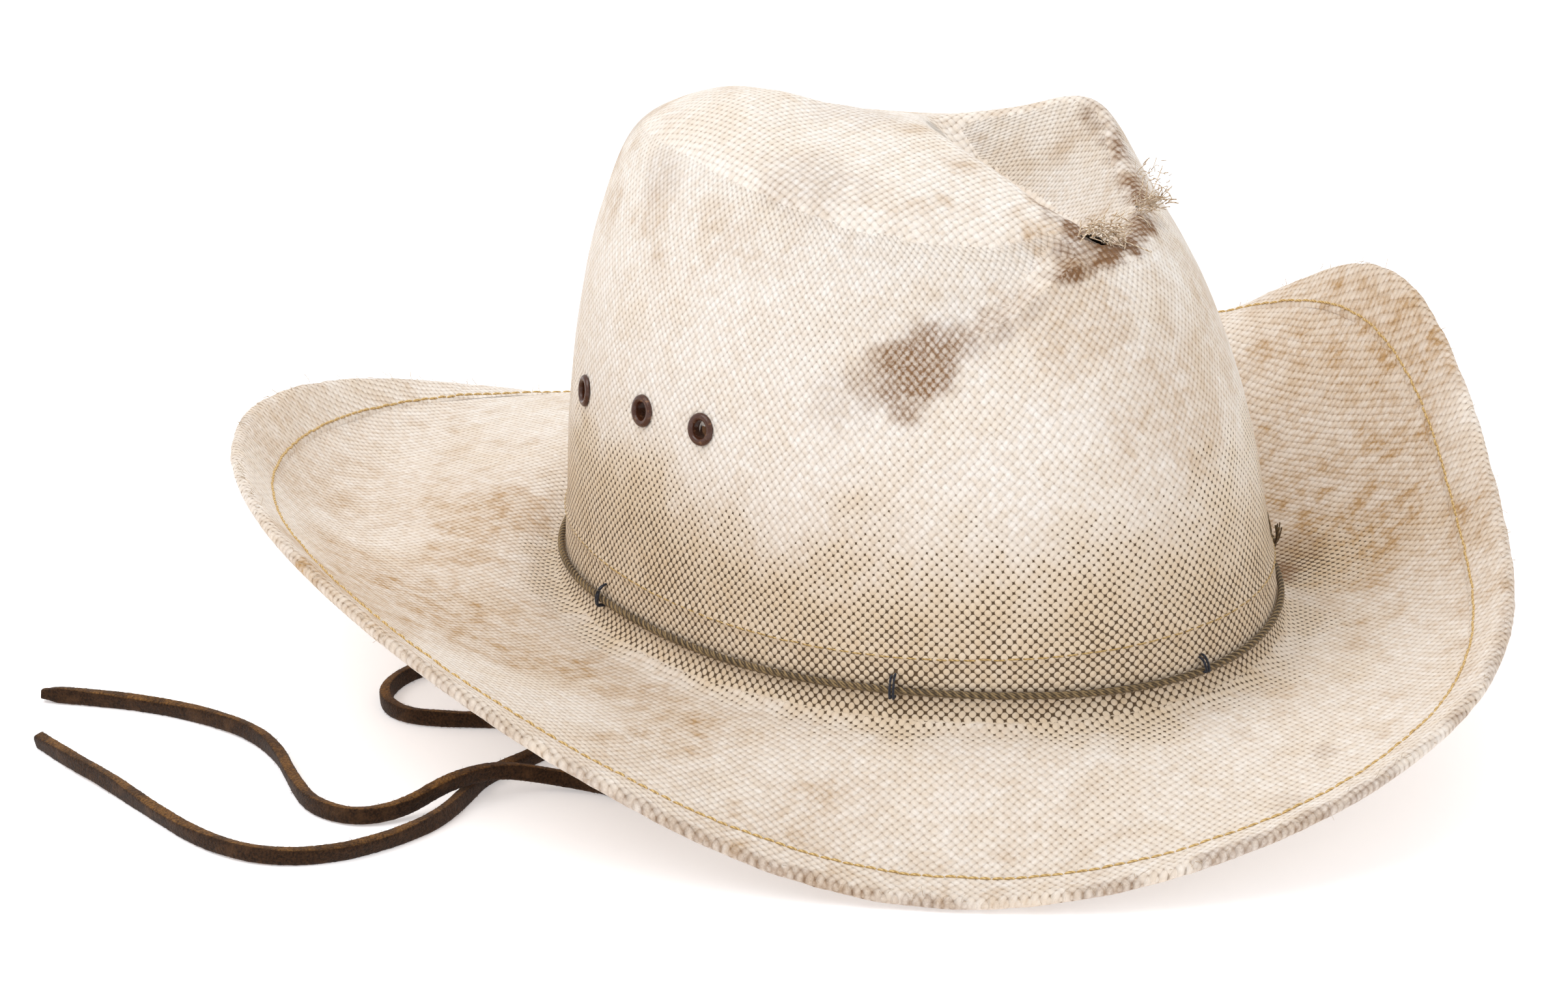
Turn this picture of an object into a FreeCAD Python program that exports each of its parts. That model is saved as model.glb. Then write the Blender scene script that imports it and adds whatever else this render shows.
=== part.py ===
import FreeCAD, Part
import math
import os

Vec = FreeCAD.Vector

# ---------------------------------------------------------------- sizes (mm)
# Directions round the hat, 45 degrees apart, from the wearer's left.
DIRECTIONS = ("left", "back_left", "back", "back_right",
              "right", "front_right", "front", "front_left")

# One value for each direction.  Crown rows give a station of the crown wall:
# its radius as a share of the head oval, and its height over the crown base.
RINGS = {
    "crown_share_one": (0.98, 0.99, 0.99, 0.985, 0.98, 0.985, 0.975, 0.965),
    "crown_share_two": (0.94, 0.96, 0.97, 0.97, 0.95, 0.945, 0.93, 0.91),
    "crown_share_three": (0.88, 0.91, 0.93, 0.935, 0.90, 0.885, 0.86, 0.825),
    "crown_share_four": (0.78, 0.83, 0.87, 0.875, 0.83, 0.80, 0.75, 0.705),
    "crown_share_five": (0.65, 0.70, 0.75, 0.76, 0.70, 0.68, 0.63, 0.575),
    "crown_rise_five": (114, 109, 114, 120, 118, 112, 110, 114),
    "crown_rise_six": (121, 114, 123, 130, 127, 122, 120, 124),
    "crown_rise_seven": (124, 122, 127, 132, 130, 127, 127, 126),
    "rim_radius": (166, 174, 189, 177, 165, 149, 166, 149),
    "rim_rise": (38, -15.7, 6, 38.5, 25, -19.2, 4, 26),
    "brim_rise_near": (8, 8, 9, 8, 3, -5, -2, 3),
    "brim_rise_far": (27, 14, 6, 14, 12, -14, -2, 11),
}

SIZES = {
    "head_half_width": 85.5, "head_half_length": 101.5,
    "crown_base_height": 22.45, "head_offset_x": -0.4, "head_offset_y": -11.5,
    "crown_rise_one": 22, "crown_rise_two": 48, "crown_rise_three": 74,
    "crown_rise_four": 98, "crown_rise_top": 129,
    "crown_share_six": 0.45, "crown_share_seven": 0.2,
    "crown_top_x": -16, "crown_top_y": 18,
    "brim_near_share": 0.36, "brim_far_share": 0.70,
    "break_up_share": 0.04, "break_out_share": 0.11,
    "crease_x": 21, "crease_bend": 0.005, "crease_height": 99,
    "crease_back_start": 30, "crease_back_rise": 0.01, "crease_front_rise": 0.45,
    "crease_slope_near": 1.2, "crease_slope_far": 1.25,
    "crease_valley_round": 5, "crease_crest_round": 4,
    "peak_x": 44, "peak_y": -15, "peak_z": 120, "peak_reach": 15, "peak_lift": 9.5,
    "wing_lift": 15, "wing_turn": -4, "wing_spread": 16,
    "pinch_x": -38, "pinch_y": -62, "pinch_z": 98, "pinch_reach": 30, "pinch_depth": 9,
    "straw_thickness": 1.6, "hem_thickness": 2.8, "hem_width": 10, "hem_stitch_inset": 9,
    "thread_radius": 0.35, "sweatband_height": 32, "sweatband_thickness": 1.2,
    "sweatband_gap": 0.25, "sweat_stitch_rise": 18.5,
    "twine_radius": 0.95, "twine_rise": 8, "tack_radius": 0.4, "tack_reach": 2.0,
    "eyelet_hole_radius": 2.25, "eyelet_barrel_radius": 2.6, "eyelet_flange_radius": 4.15,
    "eyelet_barrel_depth": 3.1, "eyelet_clinch_radius": 3.4, "eyelet_clinch_thickness": 0.45,
    "straw_hole_radius": 2.7, "washer_radius": 4.7, "washer_thickness": 0.4,
    "washer_depth": 1.95, "washer_bore_radius": 2.7,
    "lace_width": 4.2, "lace_knot_radius": 4.2, "lace_knot_height": 13.2,
    "loop_width": 7, "loop_thickness": 1.0, "loop_length": 19, "loop_depth": 4.4,
    "bow_length": 9, "bow_height": 3.2, "bow_depth": 1.2,
}

doc = FreeCAD.newDocument("CowboyHat")
sheet = doc.addObject("Spreadsheet::Sheet", "Sizes")
row = 1
cells = dict(SIZES)
for ring_name, ring_values in RINGS.items():
    for direction, ring_value in zip(DIRECTIONS, ring_values):
        cells[ring_name + "_" + direction] = ring_value
for cell_name, cell_value in cells.items():
    sheet.set("A%d" % row, cell_name)
    sheet.set("B%d" % row, str(cell_value))
    sheet.setAlias("B%d" % row, cell_name)
    row += 1
doc.recompute()


def size(name):
    return float(getattr(sheet, name))


S = {name: size(name) for name in SIZES}


def harmonics(values):
    """Mean, cosine and sine terms of eight values 45 degrees apart."""
    count = len(values)
    terms = []
    for k in range(1, count // 2 + 1):
        scale = (1.0 if k == count // 2 else 2.0) / count
        cosine = sum(v * math.cos(k * i * 2 * math.pi / count) for i, v in enumerate(values))
        sine = sum(v * math.sin(k * i * 2 * math.pi / count) for i, v in enumerate(values))
        terms.append((cosine * scale, 0.0 if k == count // 2 else sine * scale))
    return sum(values) / count, terms


WAVES = {name: harmonics([size(name + "_" + d) for d in DIRECTIONS]) for name in RINGS}


def ring(name, angle):
    mean, terms = WAVES[name]
    total = mean
    for k, (cosine, sine) in enumerate(terms, 1):
        total += cosine * math.cos(k * angle) + sine * math.sin(k * angle)
    return total


def head_radius(angle):
    a, b = S["head_half_width"], S["head_half_length"]
    return a * b / math.hypot(b * math.cos(angle), a * math.sin(angle))


def along(values, place):
    """Smooth curve through the values, one unit of place apart."""
    last = len(values) - 1
    i = min(max(int(math.floor(place)), 0), last - 1)
    f = place - i
    before, start = values[max(i - 1, 0)], values[i]
    end, after = values[i + 1], values[min(i + 2, last)]
    slope_start = end - start if i == 0 else (end - before) / 2.0
    slope_end = end - start if i == last - 1 else (after - start) / 2.0
    return ((2 * f ** 3 - 3 * f ** 2 + 1) * start + (f ** 3 - 2 * f ** 2 + f) * slope_start
            + (3 * f ** 2 - 2 * f ** 3) * end + (f ** 3 - f ** 2) * slope_end)


def crease_floor(x, y):
    """Height of the V-shaped crease surface that presses the crown top down."""
    valley_x = S["crease_x"] - S["crease_bend"] * max(0.0, -10.0 - y) ** 2
    floor = S["crease_height"]
    floor += S["crease_back_rise"] * max(0.0, y + S["crease_back_start"]) ** 2
    floor += S["crease_front_rise"] * max(0.0, -45.0 - y)
    aside = x - valley_x
    slope = S["crease_slope_near"] if aside < 0 else S["crease_slope_far"]
    soft = S["crease_valley_round"]
    return floor + slope * (math.sqrt(aside * aside + soft * soft) - soft)


def crown(t, angle):
    """Outer face of the crown: t is 0 at the base and 1 at the top."""
    shares = [1.0]
    rises = [0.0]
    for word in ("one", "two", "three", "four", "five"):
        shares.append(ring("crown_share_" + word, angle))
    rises += [S["crown_rise_one"], S["crown_rise_two"], S["crown_rise_three"], S["crown_rise_four"]]
    rises.append(ring("crown_rise_five", angle))
    shares += [S["crown_share_six"], S["crown_share_seven"], 0.0]
    rises += [ring("crown_rise_six", angle), ring("crown_rise_seven", angle), S["crown_rise_top"]]
    place = t * (len(shares) - 1)
    radius = along(shares, place) * head_radius(angle)
    z = along(rises, place)
    lean = along([0, 0, 0, 0, 0, 0.05, 0.5, 0.85, 1.0], place)
    x = radius * math.cos(angle) + lean * S["crown_top_x"]
    y = radius * math.sin(angle) + lean * S["crown_top_y"]
    away = (x - S["pinch_x"]) ** 2 + (y - S["pinch_y"]) ** 2 + (z - S["pinch_z"]) ** 2
    push = S["pinch_depth"] * math.exp(-away / S["pinch_reach"] ** 2)
    away = (x - S["peak_x"]) ** 2 + (y - S["peak_y"]) ** 2 + (z - S["peak_z"]) ** 2
    peak = S["peak_lift"] * math.exp(-away / S["peak_reach"] ** 2)
    x, y, z = x + 0.55 * push, y + 0.8 * push, z - 0.2 * push + peak
    floor = crease_floor(x, y)
    soft = S["crease_crest_round"]
    z = 0.5 * (z + floor - math.sqrt((z - floor) ** 2 + soft * soft))
    return Vec(x, y, z)


def brim(t, angle):
    """Upper face of the brim: t is 0 at the crown and 1 at the rim."""
    near, far = S["brim_near_share"], S["brim_far_share"]
    z = ring("brim_rise_near", angle) * t * (t - far) * (t - 1) / (near * (near - far) * (near - 1))
    z += ring("brim_rise_far", angle) * t * (t - near) * (t - 1) / (far * (far - near) * (far - 1))
    away = (math.degrees(angle) - S["wing_turn"] + 180) % 360 - 180
    wing = S["wing_lift"] * math.exp(-(away / S["wing_spread"]) ** 2)
    z += (ring("rim_rise", angle) + wing) * t * (t - near) * (t - far) / ((1 - near) * (1 - far))
    start = head_radius(angle)
    radius = start + (ring("rim_radius", angle) - start) * t
    return Vec(radius * math.cos(angle), radius * math.sin(angle), z)


def skin(s, angle):
    """Whole outer face: crown for s from 0 to 1, break to 2, brim to 3."""
    up, out = S["break_up_share"], S["break_out_share"]
    if s <= 1:
        return crown(1 - s * (1 - up), angle)
    if s >= 2:
        return brim(out + (s - 2) * (1 - out), angle)
    w = s - 1
    corner = Vec(head_radius(angle) * math.cos(angle), head_radius(angle) * math.sin(angle), 0)
    return crown(up, angle) * (1 - w) ** 2 + corner * (2 * w * (1 - w)) + brim(out, angle) * w ** 2


def outward(s, angle):
    """Unit normal that points out of the crown and up from the brim."""
    ds, da = 0.004, 0.01
    lower, upper = max(s - ds, 0.0), min(s + ds, 3.0)
    along_s = skin(upper, angle) - skin(lower, angle)
    along_a = skin(s, angle + da) - skin(s, angle - da)
    return along_s.cross(along_a).normalize()


BASE = Vec(S["head_offset_x"], S["head_offset_y"], S["crown_base_height"])


def hem_share(s, angle):
    """0 inside the turned-over edge, rising to 1 in it."""
    if s <= 2:
        return 0.0
    width = ring("rim_radius", angle) - head_radius(angle)
    inset = (3 - s) * (1 - S["break_out_share"]) * width
    f = min(max((S["hem_width"] + 2 - inset) / 4.0, 0.0), 1.0)
    return f * f * (3 - 2 * f)


def offset_point(s, angle, depth):
    return skin(s, angle) - outward(s, angle) * depth + BASE


def straw_depth(s, angle):
    return S["straw_thickness"] + (S["hem_thickness"] - S["straw_thickness"]) * hem_share(s, angle)


HALVES = ((0.0, math.pi), (math.pi, 2 * math.pi))


def angles(half, count):
    start, end = half
    return [start + (end - start) * i / (count - 1) for i in range(count)]


def curve(points):
    spline = Part.BSplineCurve()
    spline.interpolate(points)
    return spline.toShape()


def closed_solid(faces):
    sewn = Part.Compound(faces)
    sewn.sewShape(0.01)
    solid = Part.Solid(Part.Shell(sewn.Faces))
    if not solid.isValid():
        solid.fix(0.01, 0.01, 0.01)
    if solid.Volume < 0:
        solid.reverse()
    return solid


def ring_solid(section, count=49):
    """Closed band round the hat; section(angle) gives its corners in order."""
    faces = []
    for half in HALVES:
        rows = [section(a) for a in angles(half, count)]
        edges = [curve([r[k] for r in rows]) for k in range(len(rows[0]))]
        for k, edge in enumerate(edges):
            faces.append(Part.makeRuledSurface(edge, edges[(k + 1) % len(edges)]))
    return closed_solid(faces)


def add_shape(label, shape):
    item = doc.addObject("Part::Feature", label)
    item.Label = label
    item.Shape = shape
    item.Placement = FreeCAD.Placement()
    return item


# ---------------------------------------------------------------- straw body
CROWN_LEVELS = [0.02, 0.06, 0.11, 0.17, 0.23, 0.28, 0.33, 0.37, 0.41, 0.45, 0.49, 0.53,
                0.57, 0.61, 0.66, 0.71, 0.76, 0.81, 0.86, 0.91, 0.96, 1.0]
BREAK_LEVELS = [1.33, 1.66, 2.0]
BRIM_LEVELS = [2.07, 2.17, 2.28, 2.40, 2.52, 2.64, 2.75, 2.82, 2.87, 2.92, 2.96, 3.0]
LEVELS = CROWN_LEVELS + BREAK_LEVELS + BRIM_LEVELS


def skin_face(depth_of, count):
    """One face all the way round, from the crown top to the rim."""
    grid = []
    for s in LEVELS:
        grid.append([offset_point(s, a, depth_of(s, a)) for a in angles((0, 2 * math.pi), count)])
        grid[-1][-1] = grid[-1][0]
    flat = sum(p.z for p in grid[0]) / count
    grid[0] = [Vec(p.x, p.y, flat) for p in grid[0]]
    surface = Part.BSplineSurface()
    surface.interpolate(grid)
    face = surface.toShape()
    loops = sorted((e for e in face.Edges if e.isClosed()), key=lambda e: e.Length)
    return face, loops[0], loops[-1]


outer, outer_top, outer_rim = skin_face(lambda s, a: 0.0, 121)
inner, inner_top, inner_rim = skin_face(straw_depth, 121)
body_faces = [outer, inner, Part.makeFilledFace([outer_top]), Part.makeFilledFace([inner_top]),
              Part.makeRuledSurface(outer_rim, inner_rim, 1)]
straw = closed_solid(body_faces)

# ---------------------------------------------------------------- eyelets
# Station and direction (degrees) of each eyelet on the crown wall.
EYELETS = {
    "right_rear": (0.293, 145.2), "right_middle": (0.316, 167.8), "right_front": (0.321, 183.8),
    "left_rear": (0.293, 34.8), "left_middle": (0.316, 12.2), "left_front": (0.321, -3.8),
}


def crown_frame(t, degrees, lift=0.0):
    """Placement on the crown wall: its Z axis points outwards."""
    s = (1 - t) / (1 - S["break_up_share"])
    angle = math.radians(degrees)
    normal = outward(s, angle)
    point = skin(s, angle) + BASE + normal * lift
    return FreeCAD.Placement(point, FreeCAD.Rotation(Vec(0, 0, 1), normal))


def cylinder(name, radius_alias, height_alias, start_alias=None, sign=-1):
    item = doc.addObject("Part::Cylinder", name)
    item.setExpression("Radius", "Sizes." + radius_alias)
    item.setExpression("Height", "Sizes." + height_alias)
    if start_alias:
        item.setExpression("Placement.Base.z", "%d * Sizes.%s" % (sign, start_alias))
    return item


def cut(name, base, tool):
    item = doc.addObject("Part::Cut", name)
    item.Base, item.Tool = base, tool
    return item


eyelet_cutters = []
for side, (station, degrees) in EYELETS.items():
    place = crown_frame(station, degrees)
    hole = Part.makeCylinder(S["straw_hole_radius"], 8, Vec(0, 0, -5))
    hole.Placement = place
    eyelet_cutters.append(hole)

    flange = doc.addObject("Part::Torus", "flange_" + side)
    flange.setExpression("Radius1", "(Sizes.eyelet_flange_radius + Sizes.eyelet_hole_radius) / 2")
    flange.setExpression("Radius2", "(Sizes.eyelet_flange_radius - Sizes.eyelet_hole_radius) / 2")
    flange.Angle1, flange.Angle2 = 0, 180
    barrel = cylinder("barrel_" + side, "eyelet_barrel_radius", "eyelet_barrel_depth",
                      "eyelet_barrel_depth")
    barrel.setExpression("Height", "Sizes.eyelet_barrel_depth + 0.3")
    clinch = cylinder("clinch_" + side, "eyelet_clinch_radius", "eyelet_clinch_thickness",
                      "eyelet_barrel_depth")
    joined = doc.addObject("Part::MultiFuse", "joined_" + side)
    joined.Shapes = [flange, barrel, clinch]
    bore = cylinder("bore_" + side, "eyelet_hole_radius", "eyelet_barrel_depth",
                    "eyelet_barrel_depth")
    bore.setExpression("Height", "2 * Sizes.eyelet_barrel_depth")
    eyelet = cut("eyelet_" + side, joined, bore)
    eyelet.Label = "eyelet_" + side
    eyelet.Placement = crown_frame(station, degrees, 0.06)

    disc = cylinder("disc_" + side, "washer_radius", "washer_thickness")
    opening = cylinder("opening_" + side, "washer_bore_radius", "washer_thickness")
    opening.setExpression("Height", "3 * Sizes.washer_thickness")
    opening.setExpression("Placement.Base.z", "-Sizes.washer_thickness")
    washer = cut("washer_" + side, disc, opening)
    washer.Label = "washer_" + side
    washer.Placement = crown_frame(station, degrees, -S["washer_depth"] - S["washer_thickness"])

straw = straw.cut(Part.makeCompound(eyelet_cutters))
if straw.ShapeType != "Solid":
    straw = max(straw.Solids, key=lambda s: s.Volume)
add_shape("straw_body", straw)

# ---------------------------------------------------------------- bands, threads and twine


def crown_level(angle, rise):
    """Skin level of the crown wall at this height over the base."""
    low, high = 0.3, 1.0
    for _ in range(40):
        middle = (low + high) / 2
        if skin(middle, angle).z > rise:
            low = middle
        else:
            high = middle
    return low


def sweatband_section(angle):
    """Corners of the leather band that stands against the crown wall inside."""
    corners = []
    inward = Vec(-math.cos(angle), -math.sin(angle), 0)
    gap = S["straw_thickness"] + S["sweatband_gap"]
    for rise, extra in ((0.5, gap), (S["sweatband_height"], gap),
                        (S["sweatband_height"], gap + S["sweatband_thickness"]),
                        (0.5, gap + S["sweatband_thickness"])):
        wall = crown(0.001 + 0.125 * rise / S["crown_rise_one"], angle)
        corners.append(Vec(wall.x, wall.y, rise) + inward * extra + BASE)
    return corners


def round_section(centre, radius, across, upward, corners=8):
    return [centre + across * (radius * math.cos(2 * math.pi * k / corners))
            + upward * (radius * math.sin(2 * math.pi * k / corners)) for k in range(corners)]


def wall_ring(rise, radius, lift):
    def section(angle):
        level = crown_level(angle, rise)
        normal = outward(level, angle)
        centre = skin(level, angle) + BASE + normal * lift
        return round_section(centre, radius, normal, Vec(0, 0, 1))
    return ring_solid(section)


def hem_stitch_section(angle):
    width = ring("rim_radius", angle) - head_radius(angle)
    level = 3 - S["hem_stitch_inset"] / width / (1 - S["break_out_share"])
    normal = outward(level, angle)
    centre = skin(level, angle) + BASE + normal * (S["thread_radius"] + 0.08)
    return round_section(centre, S["thread_radius"], Vec(math.cos(angle), math.sin(angle), 0), normal)


add_shape("sweatband", ring_solid(sweatband_section, 73))
add_shape("brim_hem_stitching", ring_solid(hem_stitch_section, 73))
add_shape("sweatband_stitching",
          wall_ring(S["sweat_stitch_rise"], S["thread_radius"], S["thread_radius"] + 0.06))
add_shape("hatband_twine", wall_ring(S["twine_rise"], S["twine_radius"], S["twine_radius"] + 0.06))


def tube(points, radius):
    """Round thread along an open curve through the points."""
    path = Part.Wire([curve(points)])
    start = (points[1] - points[0]).normalize()
    profile = Part.Wire([Part.makeCircle(radius, points[0], start)])
    return path.makePipeShell([profile], True, False)


def tack_thread(degrees):
    """Dark thread that bridges the twine, from straw to straw."""
    angle = math.radians(degrees)
    level = crown_level(angle, S["twine_rise"])
    normal = outward(level, angle)
    centre = skin(level, angle) + BASE
    points = []
    for turn in range(0, 181, 20):
        a = math.radians(turn)
        out = 0.5 + (2 * S["twine_radius"] + S["tack_radius"]) * math.sin(a)
        points.append(centre + normal * out + Vec(0, 0, 1.9 * S["tack_reach"] * math.cos(a)))
    return tube(points, S["tack_radius"])


for name, degrees in (("side", 159.8), ("front", 222.8), ("left", 270.0)):
    add_shape("tack_thread_" + name, tack_thread(degrees))

knot_angle = math.radians(322)
knot_level = crown_level(knot_angle, S["twine_rise"])
knot_normal = outward(knot_level, knot_angle)
knot_centre = skin(knot_level, knot_angle) + BASE + knot_normal * 4.4
side_way = Vec(-math.sin(knot_angle), math.cos(knot_angle), 0)
knot_shape = Part.makeSphere(2.3, knot_centre)
for sign, up in ((1, 5.0), (-1, 8.0)):
    tail = [knot_centre, knot_centre + side_way * (3 * sign) + Vec(0, 0, 0.6) + knot_normal * 0.8,
            knot_centre + side_way * (6 * sign) + Vec(0, 0, up * 0.4) + knot_normal * 1.4,
            knot_centre + side_way * (8.5 * sign) + Vec(0, 0, up) + knot_normal * 1.2]
    knot_shape = knot_shape.fuse(tube(tail, 0.6))
add_shape("twine_knot", knot_shape.removeSplitter())

# ---------------------------------------------------------------- bow, loops, knots and laces


def inner_wall(degrees, rise, extra):
    """Point on the inside of the sweatband."""
    angle = math.radians(degrees)
    wall = crown(0.001 + 0.125 * rise / S["crown_rise_one"], angle)
    gap = S["straw_thickness"] + S["sweatband_gap"] + S["sweatband_thickness"] + extra
    inward = Vec(-math.cos(angle), -math.sin(angle), 0)
    return Vec(wall.x, wall.y, rise) + inward * gap + BASE


bow_centre = inner_wall(90, 9, S["bow_depth"] + 0.1)
bow_face_y = bow_centre.y + S["bow_depth"]
half_height, reach = S["bow_height"], S["bow_length"]
bow_edges = []
for way in (-1, 1):
    waist_low = Vec(bow_centre.x, bow_face_y, bow_centre.z - way * half_height / 3)
    waist_high = Vec(bow_centre.x, bow_face_y, bow_centre.z + way * half_height / 3)
    tip = Vec(bow_centre.x + way * reach, bow_face_y, bow_centre.z)
    low = Vec(bow_centre.x + way * reach * 0.8, bow_face_y, bow_centre.z - way * half_height)
    high = Vec(bow_centre.x + way * reach * 0.8, bow_face_y, bow_centre.z + way * half_height)
    bow_edges += [Part.LineSegment(waist_low, low).toShape(), Part.Arc(low, tip, high).toShape(),
                  Part.LineSegment(high, waist_high).toShape()]
bow_flat = Part.Face(Part.Wire(bow_edges)).extrude(Vec(0, -S["bow_depth"], 0))
bow_waist = Part.makeCylinder(half_height / 2, S["bow_depth"] * 1.6, Vec(bow_centre.x, bow_face_y, bow_centre.z),
                              Vec(0, -1, 0))
bow = bow_flat.fuse(bow_waist)
add_shape("sweatband_bow", bow)

for side, degrees in (("right", 180), ("left", 0)):
    top = inner_wall(degrees, 14, 0.1)
    inward = Vec(-math.cos(math.radians(degrees)), 0, 0)
    half = S["loop_width"] / 2
    deep, wall, tall = S["loop_depth"], S["loop_thickness"], S["loop_length"]

    def racetrack(shrink):
        low = top + inward * (deep / 2) + Vec(0, -half, -tall + deep / 2)
        high = Vec(low.x, low.y, top.z - deep / 2)
        r = deep / 2 - shrink
        left, right = Vec(-r, 0, 0), Vec(r, 0, 0)
        edges = [Part.LineSegment(low + left, high + left).toShape(),
                 Part.Arc(high + left, high + Vec(0, 0, r), high + right).toShape(),
                 Part.LineSegment(high + right, low + right).toShape(),
                 Part.Arc(low + right, low + Vec(0, 0, -r), low + left).toShape()]
        return Part.Face(Part.Wire(edges)).extrude(Vec(0, 2 * half, 0))

    add_shape("lace_loop_" + side, racetrack(0.0).cut(racetrack(wall)))
    knot = doc.addObject("Part::Sphere", "lace_knot_" + side)
    knot.Label = "lace_knot_" + side
    knot.setExpression("Radius", "Sizes.lace_knot_radius")
    knot_x = top.x + inward.x * (deep / 2 + 4.4)
    knot.Placement = FreeCAD.Placement(Vec(knot_x, top.y, S["lace_knot_height"]), FreeCAD.Rotation())

# Routes of the laces over the floor: x and y from the middle of the head oval,
# and the height of the lace's centre line over the floor.
FLOOR = 2.1
ROUTES = {
    "right": [(-74.5, 1.5, 11.0), (-73, 9, 5.0), (-72, 20, FLOOR), (-73, 36, FLOOR),
              (-76, 53, FLOOR), (-84, 70, FLOOR), (-97, 80, FLOOR), (-111, 79, FLOOR),
              (-122, 71, FLOOR), (-125, 59, FLOOR), (-117, 48, FLOOR), (-107, 39, FLOOR),
              (-101, 28, FLOOR), (-106, 18, FLOOR), (-119, 16, FLOOR), (-133, 15, FLOOR),
              (-145, 8, FLOOR), (-158, 2, FLOOR), (-174, 1, FLOOR), (-189, 4, FLOOR),
              (-201, 14, FLOOR), (-206, 31, FLOOR), (-205, 53, FLOOR), (-203, 76, FLOOR),
              (-203, 92, FLOOR), (-202, 107, FLOOR)],
    "left": [(74.5, -1.5, 11.0), (70, -6, 5.0), (60, -11, FLOOR), (42, -14, FLOOR),
             (18, -9, FLOOR), (-8, -13, FLOOR), (-34, -10, FLOOR), (-58, -17, FLOOR),
             (-78, -30, FLOOR), (-96, -34, FLOOR), (-108, -25, FLOOR), (-114, -10, FLOOR),
             (-122, 2, 3.2), (-134, 8, 6.9), (-148, 10, 6.9), (-160, 11, 3.2),
             (-171, 16, FLOOR), (-175, 29, FLOOR), (-169, 45, FLOOR), (-162, 60, FLOOR),
             (-159, 76, FLOOR), (-162, 92, FLOOR), (-168, 107, FLOOR), (-176, 120, FLOOR),
             (-185, 132, FLOOR)],
}


def lace_path(points):
    """Straight runs joined by tangent arcs; returns the wire and arc radii."""
    edges, radii = [], []
    start = points[0]
    for before, corner, after in zip(points, points[1:], points[2:]):
        back, ahead = before - corner, after - corner
        turn = math.pi - back.getAngle(ahead)
        reach = 0.45 * min(back.Length, ahead.Length)
        radius = reach / math.tan(turn / 2)
        radii.append(radius)
        enter = corner + back.normalize() * reach
        leave = corner + ahead.normalize() * reach
        middle_way = (back + ahead).normalize()
        centre = corner + middle_way * math.hypot(radius, reach)
        middle = centre - middle_way * radius
        edges.append(Part.LineSegment(start, enter).toShape())
        edges.append(Part.Arc(enter, middle, leave).toShape())
        start = leave
    edges.append(Part.LineSegment(start, points[-1]).toShape())
    return Part.Wire(edges), radii


for side, route in ROUTES.items():
    points = [Vec(x + BASE.x, y + BASE.y, z) for x, y, z in route]
    path, radii = lace_path(points)
    start_way = (points[1] - points[0]).normalize()
    profile = Part.Wire([Part.makeCircle(S["lace_width"] / 2, points[0], start_way)])
    lace = path.makePipeShell([profile], True, False)
    wanted = math.pi * (S["lace_width"] / 2) ** 2 * path.Length
    print("chin_lace_%s length %.1f mm, volume ratio %.4f" % (side, path.Length, lace.Volume / wanted))
    print("  arc radii", " ".join("%.1f" % r for r in radii))
    add_shape("chin_lace_" + side, lace)

# ---------------------------------------------------------------- check and write
NODES = ["straw_body", "brim_hem_stitching", "sweatband", "sweatband_stitching", "sweatband_bow",
         "hatband_twine", "twine_knot", "tack_thread_side", "tack_thread_front", "tack_thread_left",
         "lace_loop_right", "lace_loop_left", "lace_knot_right", "lace_knot_left",
         "chin_lace_right", "chin_lace_left"]
for side in EYELETS:
    NODES += ["eyelet_" + side, "washer_" + side]

doc.recompute()
for item in doc.Objects:
    if any(word in item.State for word in ("Invalid", "Error")):
        raise RuntimeError("object %s is %s" % (item.Name, item.State))

os.makedirs("parts", exist_ok=True)
whole = FreeCAD.BoundBox()
for node in NODES:
    item = doc.getObjectsByLabel(node)[0]
    shape = item.Shape
    if shape.isNull() or not shape.isValid() or len(shape.Solids) != 1 or shape.Volume <= 0:
        raise RuntimeError("bad shape %s: valid %s, solids %d, volume %s"
                           % (node, shape.isValid(), len(shape.Solids), shape.Volume))
    if not node.startswith("chin_lace"):
        whole.add(shape.BoundBox)
    shape.exportStep("parts/%s.step" % node)
print("hat without laces", whole)
print("nodes", len(NODES))
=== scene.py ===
import math

import bmesh
import bpy
import numpy as np
from mathutils import Matrix, Vector


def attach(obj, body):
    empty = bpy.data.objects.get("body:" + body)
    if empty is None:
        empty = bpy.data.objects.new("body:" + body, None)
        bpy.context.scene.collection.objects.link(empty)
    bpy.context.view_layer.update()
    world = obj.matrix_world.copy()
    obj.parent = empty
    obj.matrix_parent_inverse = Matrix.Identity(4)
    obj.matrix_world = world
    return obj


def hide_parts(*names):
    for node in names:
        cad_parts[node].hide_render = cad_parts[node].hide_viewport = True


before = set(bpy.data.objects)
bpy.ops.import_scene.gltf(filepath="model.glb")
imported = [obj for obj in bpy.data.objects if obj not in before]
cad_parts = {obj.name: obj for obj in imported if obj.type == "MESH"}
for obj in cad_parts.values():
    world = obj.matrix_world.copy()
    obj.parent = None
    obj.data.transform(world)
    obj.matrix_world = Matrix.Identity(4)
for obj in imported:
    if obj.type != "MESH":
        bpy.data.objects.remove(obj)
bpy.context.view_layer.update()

MM = 0.001
UPWARD = np.array([0, 0, 1.0])
rng = np.random.default_rng(7)

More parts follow.
